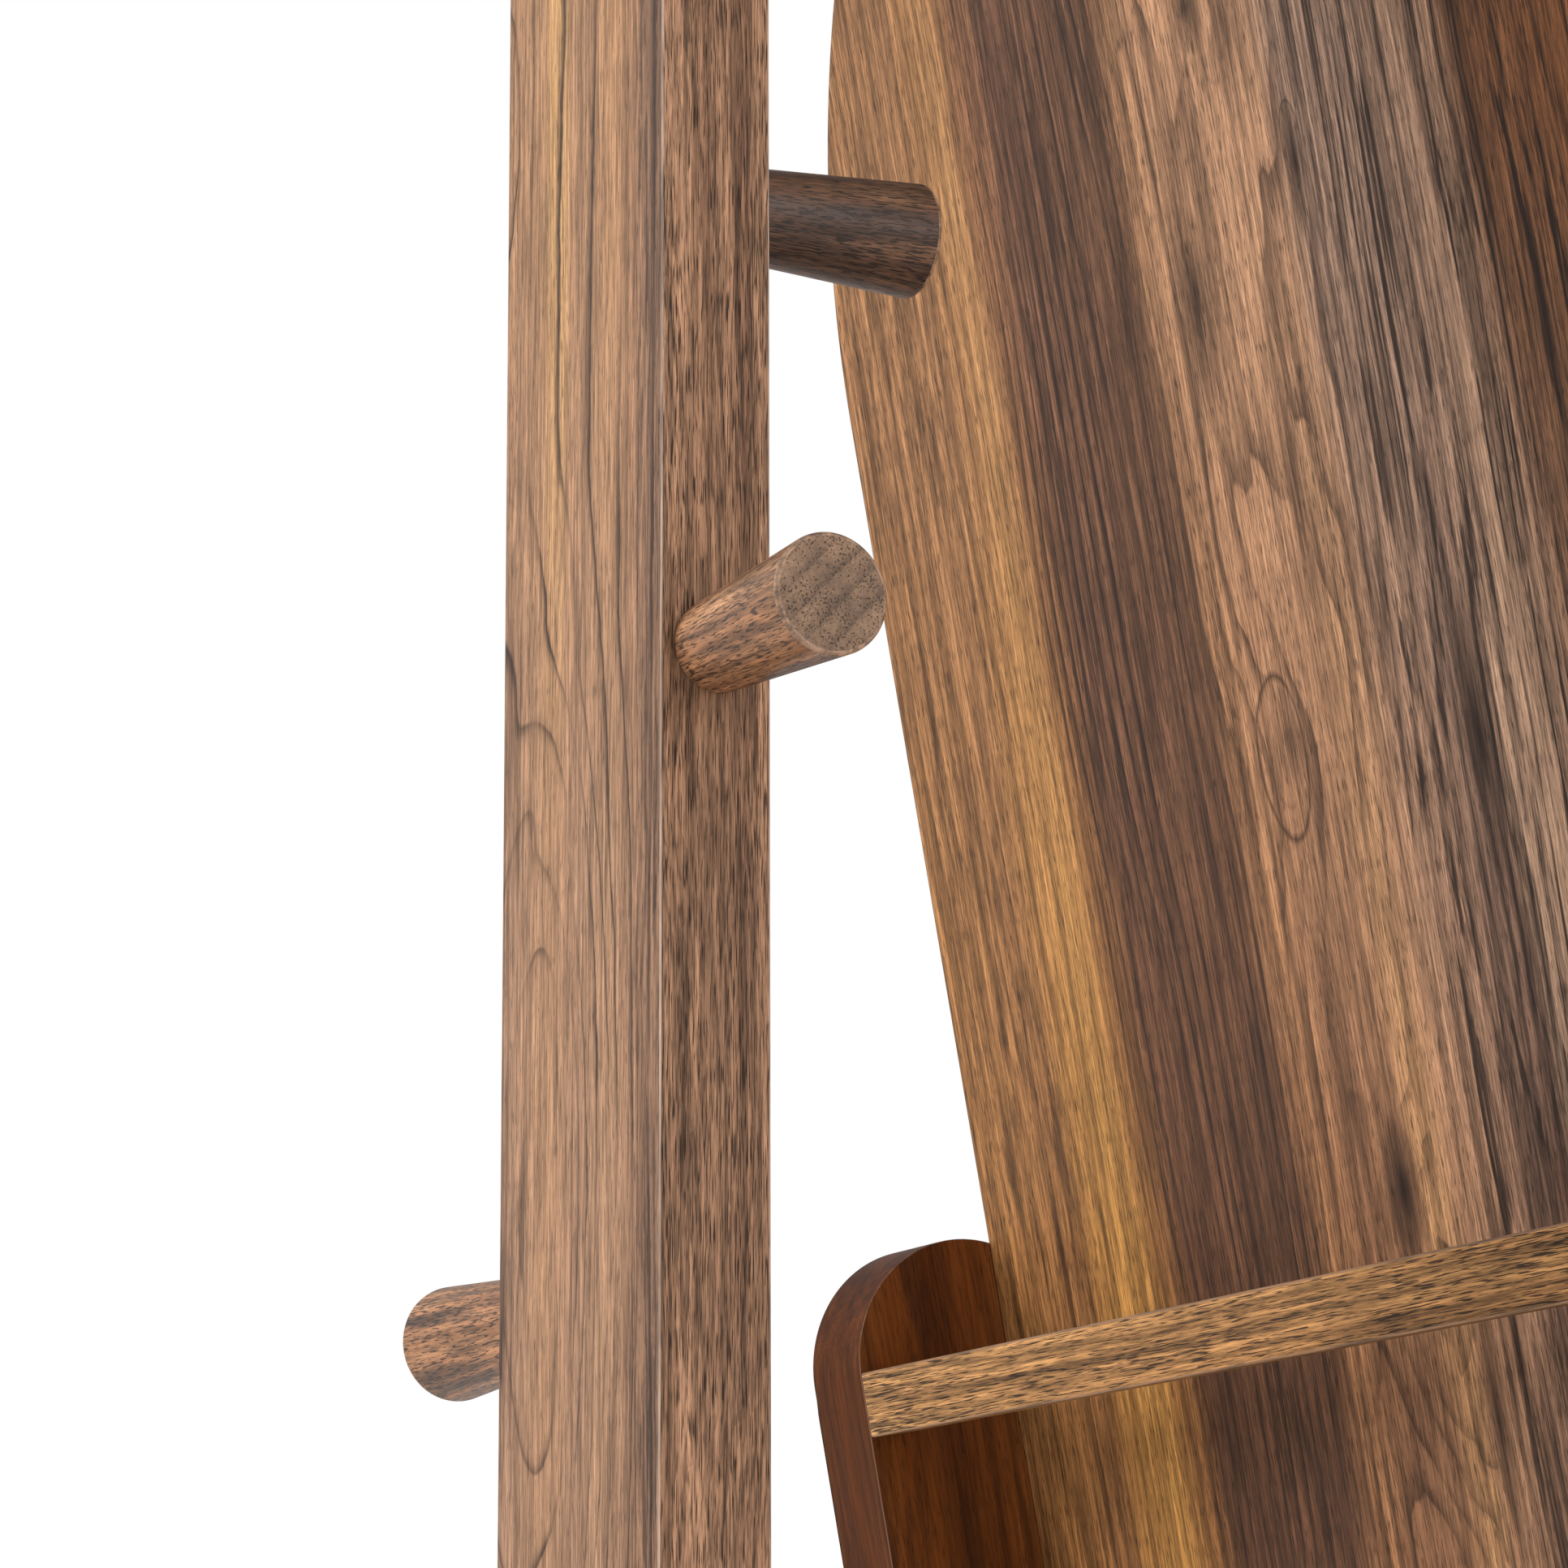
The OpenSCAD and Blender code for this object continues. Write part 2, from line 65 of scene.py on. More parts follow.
def solidCorners(nodeName, turn=upright):
    # one pair of corners for every separate solid in the node
    back = turn.inverted()
    mesh = bmesh.new()
    mesh.from_mesh(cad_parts[nodeName].data)
    bmesh.ops.remove_doubles(mesh, verts=mesh.verts, dist=weld)
    waiting = set(mesh.verts)
    solids = []
    while waiting:
        reach = [waiting.pop()]
        found = []
        while reach:
            vert = reach.pop()
            found.append(back @ vert.co)
            for edge in vert.link_edges:
                other = edge.other_vert(vert)
                if other in waiting:
                    waiting.remove(other)
                    reach.append(other)
        solids.append(cornersOf(found))
    mesh.free()
    return sorted(solids, key=lambda pair: tuple(round(c, 5) for c in pair[0]))


def onlySelect(piece):
    bpy.ops.object.select_all(action="DESELECT")
    piece.select_set(True)
    bpy.context.view_layer.objects.active = piece


def applyPlace(piece):
    onlySelect(piece)
    bpy.ops.object.transform_apply(location=True, rotation=True, scale=True)


def nothingPicked(piece, kind):
    # out of edit mode again, with no face or edge selected
    onlySelect(piece)
    bpy.ops.object.mode_set(mode="EDIT")
    bpy.ops.mesh.select_mode(type=kind)
    bpy.ops.mesh.select_all(action="DESELECT")
    bpy.ops.object.mode_set(mode="OBJECT")


def pickFaces(piece, test):
    # selects the faces whose centre and normal pass the test, and goes on in edit mode
    nothingPicked(piece, "FACE")
    for face in piece.data.polygons:
        face.select = test(face.center, face.normal)
    bpy.ops.object.mode_set(mode="EDIT")


def pickEdges(piece, test):
    # selects the edges whose two ends pass the test, and goes on in edit mode
    nothingPicked(piece, "EDGE")
    for edge in piece.data.edges:
        start, end = (piece.data.vertices[number].co for number in edge.vertices)
        edge.select = test(start, end)
    bpy.ops.object.mode_set(mode="EDIT")


def pickAll(piece):
    onlySelect(piece)
    bpy.ops.object.mode_set(mode="EDIT")
    bpy.ops.mesh.select_all(action="SELECT")


def facesDown(centre, normal):
    return normal.z < -0.9


def doneEditing():
    bpy.ops.object.mode_set(mode="OBJECT")


def extrude(step):
    bpy.ops.mesh.extrude_region_move(TRANSFORM_OT_translate={"value": step})


easeAngles = {
    "sharp": math.radians(40),      # edges sharper than this are rounded
    "smooth": math.radians(30),     # and flatter than this shaded as one
}


def ease(piece, width, steps=3):
    # rounds the sharp edges; the new narrow faces take the second material, which on the wood pieces is a
    # painted highlight
    onlySelect(piece)
    bevel = piece.modifiers.new("ease", "BEVEL")
    bevel.width = width
    bevel.segments = steps
    bevel.limit_method = "ANGLE"
    bevel.angle_limit = easeAngles["sharp"]
    bevel.harden_normals = True
    bevel.material = 1 if len(piece.data.materials) > 1 else -1
    bpy.ops.object.shade_smooth_by_angle(angle=easeAngles["smooth"])
    bpy.ops.object.modifier_apply(modifier="ease")


def newPiece(name, materials):
    piece = bpy.context.active_object
    piece.name = name
    piece.data.name = name
    for material in materials:
        piece.data.materials.append(material)
    return piece


def outwards(direction, point, turn=upright):
    # a place whose Z looks that way, with its origin at the point
    aim = Vector(direction).to_track_quat("Z", "Y").to_matrix().to_4x4()
    return turn @ Matrix.Translation(point) @ aim


def sinkHoles(piece, places, radius, depth):
    # flat-bottomed recesses; each place lies on the surface with its Z looking out
    cutters = []
    for seat in places:
        bpy.ops.object.select_all(action="DESELECT")
        bpy.ops.mesh.primitive_cylinder_add(vertices=boltPiece["sides"], radius=radius, depth=2 * depth)
        cutter = newPiece("holeCutter", list(piece.data.materials))
        cutters.append(place(cutter, seat))
    if cutters:
        cutWith(piece, [joinPieces("holeCutters", cutters)])


def plainBox(name, low, high, materials):
    bpy.ops.object.select_all(action="DESELECT")
    bpy.ops.mesh.primitive_cube_add(size=1, location=(low + high) / 2)
    piece = newPiece(name, materials)
    piece.scale = high - low
    applyPlace(piece)
    return piece


def block(name, low, high, materials, easing, turn=upright, screws=None):
    # a sawn block with eased edges, and recesses for the heads of its screws
    piece = plainBox(name, low, high, materials)
    if screws:
        sinkHeads(piece, *screws)
    ease(piece, easing)
    return place(piece, turn)


def nodeBlock(nodeName, pieceName, materials, easing, turn=upright, screws=None):
    low, high = nodeCorners(nodeName, turn)
    return block(pieceName, low, high, materials, easing, turn, screws)


def roundEnd(name, radius, thickness, length, materials, sides):
    # a plank of that thickness along X: a half disc round the origin, and straight below it
    bpy.ops.object.select_all(action="DESELECT")
    bpy.ops.mesh.primitive_cylinder_add(vertices=sides, radius=radius, depth=thickness,
                                        rotation=(0, quarter, 0))
    piece = newPiece(name, materials)
    applyPlace(piece)
    pickAll(piece)
    bpy.ops.mesh.bisect(plane_co=(0, 0, 0), plane_no=(0, 0, 1), use_fill=True, clear_inner=True)
    doneEditing()
    pickFaces(piece, facesDown)
    extrude((0, 0, -length))
    doneEditing()
    return piece


def place(piece, matrix):
    piece.matrix_world = matrix
    applyPlace(piece)
    return piece


def joinPieces(name, pieces):
    bpy.ops.object.select_all(action="DESELECT")
    for piece in pieces:
        piece.select_set(True)
    bpy.context.view_layer.objects.active = pieces[0]
    if len(pieces) > 1:
        bpy.ops.object.join()
    pieces[0].name = name
    pieces[0].data.name = name
    return pieces[0]


def copyTo(piece, matrix):
    onlySelect(piece)
    bpy.ops.object.duplicate(linked=False)
    return place(bpy.context.active_object, matrix)


def cutWith(piece, cutters):
    for cutter in cutters:
        onlySelect(piece)
        cut = piece.modifiers.new("cut", "BOOLEAN")
        cut.operation = "DIFFERENCE"
        cut.object = cutter
        bpy.ops.object.modifier_apply(modifier="cut")
        bpy.data.objects.remove(cutter)
    return piece


def install(piece, body, slot, *nodeNames):
    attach(piece, body)
    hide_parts(*nodeNames)


def tint(red, green, blue):
    # a colour as a paint chip gives it, 0 to 255, in the linear numbers that the nodes take
    def linear(value):
        value = value / 255
        return value / 12.92 if value <= 0.04045 else ((value + 0.055) / 1.055) ** 2.4
    return (linear(red), linear(green), linear(blue), 1)


def shade(colour, share):
    # the same colour, darkened to that share
    return tint(*[channel * share for channel in colour])


def addNode(tree, kind, inputs, **settings):
    node = tree.nodes.new(kind)
    for name, value in settings.items():
        setattr(node, name, value)
    for socket, value in inputs.items():
        if isinstance(value, bpy.types.NodeSocket):
            tree.links.new(value, node.inputs[socket])
        else:
            node.inputs[socket].default_value = value
    return node


def mathOf(tree, operation, first, second=0.0, clamp=False):
    return addNode(tree, "ShaderNodeMath", {0: first, 1: second},
                   operation=operation, use_clamp=clamp).outputs[0]


def vectorOf(tree, operation, first, second):
    return addNode(tree, "ShaderNodeVectorMath", {0: first, 1: second}, operation=operation).outputs[0]


def noiseOf(tree, vector, stretch, detail=2.0, roughness=0.5):
    # stretch is how many spots to a metre there are along each axis
    spread = vectorOf(tree, "MULTIPLY", vector, stretch)
    return addNode(tree, "ShaderNodeTexNoise",
                   {"Vector": spread, "Scale": 1.0, "Detail": detail, "Roughness": roughness})


def rampOf(tree, factor, stops, interpolation="LINEAR"):
    ramp = addNode(tree, "ShaderNodeValToRGB", {"Fac": factor})
    ramp.color_ramp.interpolation = interpolation
    elements = ramp.color_ramp.elements
    while len(elements) < len(stops):
        elements.new(0.5)
    for element, (position, colour) in zip(elements, stops):
        element.position = position
        element.color = colour
    return ramp.outputs[0]


def greys(*stops):
    return [(position, (level, level, level, 1)) for position, level in stops]


def mixOf(tree, factor, first, second, blend="MIX"):
    return addNode(tree, "ShaderNodeMix", {0: factor, 6: first, 7: second},
                   data_type="RGBA", blend_type=blend).outputs[2]


def pushed(tree, spot, noise, reach):
    # slides the spot by up to half of the reach either way, as the noise's colour says
    offset = vectorOf(tree, "SUBTRACT", noise.outputs["Color"], (0.5, 0.5, 0.5))
    return vectorOf(tree, "ADD", spot, vectorOf(tree, "MULTIPLY", offset, reach))


def lengthOf(tree, vector):
    return addNode(tree, "ShaderNodeVectorMath", {0: vector}, operation="LENGTH").outputs["Value"]


def addBump(tree, shader, height, strength, depth):
    bump = addNode(tree, "ShaderNodeBump", {"Strength": strength, "Distance": depth, "Height": height})
    tree.links.new(bump.outputs[0], shader.inputs["Normal"])


def startMaterial(name, turn=(0, 0, 0), shift=(0, 0, 0)):
    # the spot is the place on the piece, turned and slid as the pattern needs
    material = bpy.data.materials.new(name)
    material.use_nodes = True
    tree = material.node_tree
    shader = tree.nodes["Principled BSDF"]
    coordinates = tree.nodes.new("ShaderNodeTexCoord")
    spot = addNode(tree, "ShaderNodeMapping", {
        "Vector": coordinates.outputs["Object"],
        "Location": shift,
        "Rotation": turn}).outputs[0]
    return material, tree, shader, spot


# scales are in spots to a metre, with the grain along Z
walnutDefaults = {
    "turn": (0, 0, 0),              # turns the pattern so that the grain runs along its Z
    "shift": (0, 0, 0),             # then slides it
    "heart": (-0.12, 0.02),         # where the middle of the log lies, across and behind
    "ringGap": 0.007,               # from one growth ring to the next
    "ringLine": 0.10,               # width of a ring's dark core, as a share of the gap
    "ringDepth": 0.8,               # how dark a ring's line gets
    "fadeScale": (42, 42, 6),       # the rings fade and come back
    "wander": (0.010, 0.020),       # how far the rings stray, across and behind
    "wanderScale": (7, 7, 2.3),
    "quiver": (0.0040, 26),         # how far the rings tremble, and how often to a metre
    "quiverWidth": 160,             # how often across the grain
    "colours": [(0.34, tint(124, 90, 68)), (0.50, tint(148, 110, 84)), (0.66, tint(168, 126, 96))],
    "bandScale": (24, 24, 1.0),     # broad colour bands
    "streaks": (0.72, 1.22),        # darkest and lightest of the fine streaks
    "streakScale": (190, 190, 3.5),
    "veinScale": (240, 240, 3.0),   # long dark veins
    "veinDepth": 0.45,
    "vein": tint(44, 30, 24),
    "line": tint(58, 40, 32),       # of a ring, a knot's rim or a flame
    "fibres": (0.74, 1.24),         # darkest and lightest of the single fibres
    "fibreScale": (1100, 1100, 45),
    "fibreHeight": 0.35,            # as a share of a pore's depth
    "pore": tint(36, 25, 19),
    "poreScale": (2100, 2100, 170),
    "poreEdge": 0.56,               # lower means more pores
    "poreDepth": 0.7,               # how dark they are
    "poreHollow": 0.1 * mm,         # how deep they are sunk
    "crowding": 0.22,               # how much the pores gather in rows
    "crowdScale": (110, 110, 9),
    "roughness": (0.46, 0.62),
    "bump": 0.35,
    "gleam": 0.12,                  # how much of the room the lacquer mirrors
    "across": None,                 # colour by place across the board, where the bands are known
    "swirls": (),                   # places that push the growth rings into ovals
    "eyes": (),                     # small knots with a dark rim
    "smudges": (),                  # soft dark flames
}


def walnut(name, **choices):
    look = {**walnutDefaults, **choices}
    material, tree, shader, spot = startMaterial(name, look["turn"], look["shift"])
    reach, often = look["quiver"]
    wanderX, wanderY = look["wander"]
    # noise keeps to the middle of its range, so the wandering is widened
    strayed = pushed(tree, spot, noiseOf(tree, spot, look["wanderScale"]), (wanderX * 4, wanderY * 4, 0))
    trembling = noiseOf(tree, spot, (look["quiverWidth"], look["quiverWidth"], often), 4.0, 0.6)
    strayed = pushed(tree, strayed, trembling, (reach, reach, 0))
    side = sideOf(tree, spot, look["across"]) if look["across"] else None
    colour = bandColour(tree, look, spot, side)
    dark, light = look["streaks"]
    streaks = noiseOf(tree, spot, look["streakScale"], 3.0, 0.65).outputs["Fac"]
    streaks = rampOf(tree, streaks, greys((0.37, dark), (0.50, 1.0), (0.62, light)))
    colour = mixOf(tree, 1.0, colour, streaks, "MULTIPLY")
    colour = mixOf(tree, veinLines(tree, look, strayed, side), colour, look["vein"])
    colour = mixOf(tree, ringLines(tree, look, spot, strayed, side), colour, look["line"])
    dark, light = look["fibres"]
    fibres = noiseOf(tree, spot, look["fibreScale"], 4.0, 0.75).outputs["Fac"]
    fibreTone = rampOf(tree, fibres, greys((0.40, dark), (0.60, light)))
    colour = mixOf(tree, 1.0, colour, fibreTone, "MULTIPLY")
    pores = poreDashes(tree, look, spot)
    colour = mixOf(tree, mathOf(tree, "MULTIPLY", pores, look["poreDepth"]), colour, look["pore"])
    tree.links.new(colour, shader.inputs["Base Color"])
    # satin lacquer that sinks into the pores
    smooth, rough = look["roughness"]
    gloss = rampOf(tree, fibres, greys((0.3, smooth), (0.7, rough)))
    tree.links.new(gloss, shader.inputs["Roughness"])
    height = mathOf(tree, "SUBTRACT", mathOf(tree, "MULTIPLY", fibres, look["fibreHeight"]), pores)
    addBump(tree, shader, height, look["bump"], look["poreHollow"])
    shader.inputs["Specular IOR Level"].default_value = look["gleam"]
    return material


def sideOf(tree, spot, across):
    # 0 at one edge of the board and 1 at the other, swaying along the grain
    sway = noiseOf(tree, spot, (10, 10, 2.5)).outputs["Fac"]
    sway = mathOf(tree, "MULTIPLY", mathOf(tree, "SUBTRACT", sway, 0.5), across["sway"] / across["width"])
    parts = addNode(tree, "ShaderNodeSeparateXYZ", {0: spot}).outputs
    side = mathOf(tree, "ADD", mathOf(tree, "DIVIDE", parts[0], across["width"]), 0.5)
    return mathOf(tree, "ADD", side, sway)


def bandColour(tree, look, spot, side):
    # broad bands of colour: by place where they are known, or else by chance
    if not look["across"]:
        bands = noiseOf(tree, spot, look["bandScale"], 2.5, 0.55).outputs["Fac"]
        return rampOf(tree, bands, look["colours"])
    low, high = look["across"]["meet"]
    parts = addNode(tree, "ShaderNodeSeparateXYZ", {0: spot}).outputs
    upwards = mathOf(tree, "DIVIDE", mathOf(tree, "SUBTRACT", parts[2], low), high - low, True)
    return mixOf(tree, upwards, rampOf(tree, side, look["across"]["lower"]),
                 rampOf(tree, side, look["across"]["upper"]))


def veinLines(tree, look, strayed, side):
    veins = noiseOf(tree, strayed, look["veinScale"], 4.0, 0.62).outputs["Fac"]
    veins = rampOf(tree, veins, greys((0.44, 0.0), (0.52, 0.35), (0.61, 1.0)))
    veins = mathOf(tree, "MULTIPLY", veins, look["veinDepth"])
    if look["across"]:
        veins = mathOf(tree, "MULTIPLY", veins, rampOf(tree, side, greys(*look["across"]["veins"])))
    return veins


def ringLines(tree, look, spot, strayed, side):
    # dark lines of the growth rings round the heart of the log, with the knots and the flames
    fromHeart = vectorOf(tree, "SUBTRACT", strayed, (*look["heart"], 0))
    distance = lengthOf(tree, vectorOf(tree, "MULTIPLY", fromHeart, (1, 1, 0)))
    for swirl in look["swirls"]:
        distance = mathOf(tree, "ADD", distance, swirlPush(tree, strayed, swirl))
    ring = mathOf(tree, "FRACT", mathOf(tree, "DIVIDE", distance, look["ringGap"]))
    core = look["ringLine"]
    lines = rampOf(tree, ring, greys((0.0, 1.0), (core, 0.75), (2.2 * core, 0.34), (4.5 * core, 0.07),
                                     (0.80, 0.0), (0.96, 0.15), (1.0, 1.0)))
    fade = noiseOf(tree, spot, look["fadeScale"]).outputs["Fac"]
    fade = rampOf(tree, fade, greys((0.36, 0.25), (0.58, 1.0)))
    lines = mathOf(tree, "MULTIPLY", mathOf(tree, "MULTIPLY", lines, fade), look["ringDepth"])
    if look["across"]:
        lines = mathOf(tree, "MULTIPLY", lines, rampOf(tree, side, greys(*look["across"]["rings"])))
    for eye in look["eyes"]:
        lines = mathOf(tree, "MAXIMUM", lines, eyeRim(tree, strayed, eye))
    for smudge in look["smudges"]:
        lines = mathOf(tree, "MAXIMUM", lines, smudgeOf(tree, strayed, smudge))
    return lines


def poreDashes(tree, look, spot):
    # short dark dashes along the grain, gathered in rows
    pores = noiseOf(tree, spot, look["poreScale"], 1.0, 0.5).outputs["Fac"]
    crowd = noiseOf(tree, spot, look["crowdScale"]).outputs["Fac"]
    crowd = mathOf(tree, "MULTIPLY", mathOf(tree, "SUBTRACT", crowd, 0.5), look["crowding"])
    edge = look["poreEdge"]
    return rampOf(tree, mathOf(tree, "ADD", pores, crowd), greys((edge, 0.0), (edge + 0.08, 1.0)))


def farFrom(tree, spot, mark):
    # 0 in the middle of the mark's oval and 1 on its edge, on the face of the board
    offset = vectorOf(tree, "SUBTRACT", spot, (mark["place"][0], 0, mark["place"][1]))
    return lengthOf(tree, vectorOf(tree, "MULTIPLY", offset, (1 / mark["half"][0], 0, 1 / mark["half"][1])))


def swirlPush(tree, spot, swirl):
    # how far the growth rings are pushed out near a knot or a flame
    near = rampOf(tree, farFrom(tree, spot, swirl),
                  greys((0.0, 1.0), (0.25, 0.86), (0.5, 0.5), (0.75, 0.14), (1.0, 0.0)), "EASE")
    return mathOf(tree, "MULTIPLY", near, swirl["push"])


def eyeRim(tree, spot, eye):
    # a small knot: a dark rim with a thinner one inside it, and a smoky heart
    heart = eye["heart"]
    rim = rampOf(tree, farFrom(tree, spot, eye),
                 greys((0.0, heart), (0.30, heart * 0.6), (0.50, 0.05), (0.56, 0.35), (0.62, 0.05),
                       (0.84, 0.12), (0.92, 0.85), (1.0, 0.0)))
    return mathOf(tree, "MULTIPLY", rim, eye["depth"])


def smudgeOf(tree, spot, smudge):
    # a soft dark flame
    soft = rampOf(tree, farFrom(tree, spot, smudge), greys((0.0, 1.0), (0.5, 0.6), (1.0, 0.0)), "EASE")
    return mathOf(tree, "MULTIPLY", soft, smudge["depth"])


alongX = (0, -quarter, 0)           # grain along X
alongY = (quarter, 0, 0)            # grain along Y
alongBoard = (leanAngle, 0, 0)      # grain up the leaning board
boardBack = nodeCorners("arch_board", leaning)[1].y
onBoard = (0, -boardBack, -boardBack * math.tan(leanAngle))     # the board's foot becomes the origin
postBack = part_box("coat_post")[1].y
onPost = (0, -postBack, 0)

# the back of the board, with its bands and marks where the veneer has them
boardLook = {
    "turn": alongBoard,
    "shift": onBoard,
    "heart": (0.040, -0.050),
    "ringGap": 0.0052,
    "ringDepth": 0.95,
    "wander": (0.008, 0.020),
    "ringLine": 0.13,
    "quiver": (0.0016, 18),
    "streaks": (0.60, 1.32),
    "streakScale": (230, 230, 7),
    "veinScale": (330, 330, 2.4),
    "veinDepth": 1.0,
    "fibres": (0.60, 1.38),
    "line": tint(44, 29, 23),
    "poreEdge": 0.57,
    "poreDepth": 0.6,
    "across": {"width": 0.54, "sway": 0.020, "meet": (1.20, 1.46),
               "rings": [(0.46, 0.4), (0.50, 0.75), (0.64, 0.75), (0.67, 1.0), (0.79, 1.0),
                         (0.81, 0.3), (1.0, 0.5)],
               "veins": [(0.30, 1.0), (0.49, 0.9), (0.52, 0.2), (0.64, 0.25), (0.67, 0.6), (0.78, 0.6),
                         (0.81, 0.2), (0.86, 0.25), (0.90, 0.5), (1.0, 0.4)],
               "upper": [
                   (0.03, tint(130, 84, 54)), (0.14, tint(150, 104, 72)), (0.24, tint(134, 86, 54)),
                   (0.345, tint(128, 86, 58)), (0.37, tint(178, 140, 114)), (0.45, tint(164, 132, 112)),
                   (0.50, tint(172, 138, 116)), (0.52, tint(186, 142, 110)), (0.62, tint(186, 140, 106)),
                   (0.645, tint(160, 118, 86)), (0.662, tint(116, 82, 60)), (0.77, tint(120, 84, 64)),
                   (0.80, tint(140, 98, 68)), (0.825, tint(176, 130, 86)), (0.85, tint(166, 120, 80)),
                   (0.87, tint(160, 116, 80)), (0.97, tint(166, 120, 82))],
               "lower": [
                   (0.03, tint(150, 108, 76)), (0.13, tint(112, 76, 52)), (0.24, tint(158, 118, 90)),
                   (0.335, tint(156, 122, 98)), (0.36, tint(188, 150, 124)), (0.385, tint(208, 168, 138)),
                   (0.41, tint(184, 148, 122)), (0.425, tint(112, 82, 66)), (0.445, tint(130, 98, 80)),
                   (0.475, tint(178, 136, 108)), (0.52, tint(180, 134, 100)), (0.537, tint(200, 150, 104)),
                   (0.56, tint(158, 114, 82)), (0.60, tint(150, 106, 76)), (0.635, tint(170, 120, 82)),
                   (0.662, tint(114, 78, 56)), (0.775, tint(108, 72, 50)), (0.80, tint(158, 108, 62)),
                   (0.825, tint(196, 142, 76)), (0.868, tint(176, 124, 68)), (0.885, tint(154, 106, 64)),
                   (0.97, tint(172, 120, 70))]},
    "swirls": ({"place": (0.056, 1.325), "half": (0.030, 0.075), "push": 0.008},
               {"place": (0.030, 1.455), "half": (0.045, 0.16), "push": 0.014},
               {"place": (0.030, 1.17), "half": (0.040, 0.09), "push": 0.014}),
    "eyes": ({"place": (0.056, 1.327), "half": (0.012, 0.025), "depth": 0.9, "heart": 0.4},
             {"place": (0.004, 1.487), "half": (0.005, 0.013), "depth": 0.9, "heart": 1.0}),
    "smudges": ({"place": (0.060, 1.460), "half": (0.010, 0.044), "depth": 0.85},
                {"place": (0.041, 1.538), "half": (0.010, 0.018), "depth": 0.9},
                {"place": (0.004, 1.482), "half": (0.006, 0.024), "depth": 0.95},
                {"place": (0.026, 1.400), "half": (0.006, 0.055), "depth": 0.8},
                {"place": (-0.038, 1.315), "half": (0.009, 0.050), "depth": 1.0},
                {"place": (-0.070, 1.430), "half": (0.006, 0.080), "depth": 0.6},
                {"place": (0.034, 1.204), "half": (0.011, 0.026), "depth": 1.0},
                {"place": (0.052, 1.332), "half": (0.008, 0.018), "depth": 0.7},
                {"place": (0.008, 1.140), "half": (0.006, 0.045), "depth": 0.85}),
}
postFaceLook = {
    "shift": onPost,
    "heart": (-0.13, -0.01),
    "ringGap": 0.018,
    "ringDepth": 1.0,
    "wander": (0.006, 0.010),
    "ringLine": 0.045,
    "quiver": (0.0030, 40),
    "streaks": (0.74, 1.22),
    "streakScale": (260, 260, 9),
    "veinScale": (620, 620, 6),
    "veinDepth": 0.9,
    "vein": tint(70, 52, 43),
    "fibres": (0.62, 1.34),
    "poreEdge": 0.60,
    "poreDepth": 0.5,
    "line": tint(58, 44, 38),
    "across": {"width": 0.09, "sway": 0.010, "meet": (1.24, 1.42),
               "rings": [(0.0, 1.0), (1.0, 1.0)],
               "veins": [(0.02, 1.0), (0.15, 0.8), (0.20, 0.35), (0.55, 0.3), (0.70, 0.2),
                         (0.90, 0.4), (1.0, 0.45)],
               "upper": [
                   (0.02, tint(130, 98, 78)), (0.12, tint(144, 110, 86)), (0.17, tint(166, 124, 94)),
                   (0.34, tint(180, 136, 100)), (0.50, tint(168, 128, 98)), (0.59, tint(174, 132, 100)),
                   (0.63, tint(206, 160, 112)), (0.71, tint(200, 154, 106)), (0.76, tint(176, 134, 100)),
                   (0.97, tint(174, 132, 100))],
               "lower": [
                   (0.02, tint(150, 114, 90)), (0.16, tint(158, 120, 94)), (0.34, tint(176, 136, 106)),
                   (0.50, tint(164, 126, 100)), (0.70, tint(178, 136, 104)), (0.97, tint(160, 124, 100))]},
    "swirls": ({"place": (0.016, 1.16), "half": (0.058, 0.20), "push": 0.085},
               {"place": (0.012, 0.62), "half": (0.040, 0.24), "push": 0.045},
               {"place": (0.046, 1.445), "half": (0.016, 0.05), "push": 0.014}),
}
postEdgeLook = {
    "shift": onPost,
    "heart": (0.3, 0.02),
    "ringGap": 0.012,
    "ringDepth": 0.35,
    "bandScale": (70, 70, 1.6),
    "colours": [(0.34, tint(130, 95, 73)), (0.50, tint(157, 118, 91)), (0.66, tint(186, 141, 110))],
    "streaks": (0.62, 1.28),
    "streakScale": (420, 420, 7),
    "veinScale": (900, 900, 9),
    "veinDepth": 0.55,
    "fibres": (0.66, 1.30),
    "poreScale": (3200, 3200, 105),
    "poreEdge": 0.54,
    "poreDepth": 0.9,
    "roughness": (0.5, 0.66),
}
pegLook = {
    "heart": (-0.3, -0.8),
    "ringGap": 0.0048,
    "ringDepth": 0.4,
    "wander": (0.003, 0.003),
    "quiver": (0.0010, 26),
    "colours": [(0.34, tint(126, 86, 58)), (0.50, tint(168, 118, 82)), (0.66, tint(202, 150, 108))],
    "bandScale": (90, 90, 5),
    "streaks": (0.56, 1.34),
    "streakScale": (400, 400, 14),
    "veinScale": (300, 300, 10),
    "poreScale": (2400, 2400, 190),
    "poreEdge": 0.53,
    "poreDepth": 0.85,
    "roughness": (0.34, 0.52),
    "bump": 0.7,
    "gleam": 0.35,
}
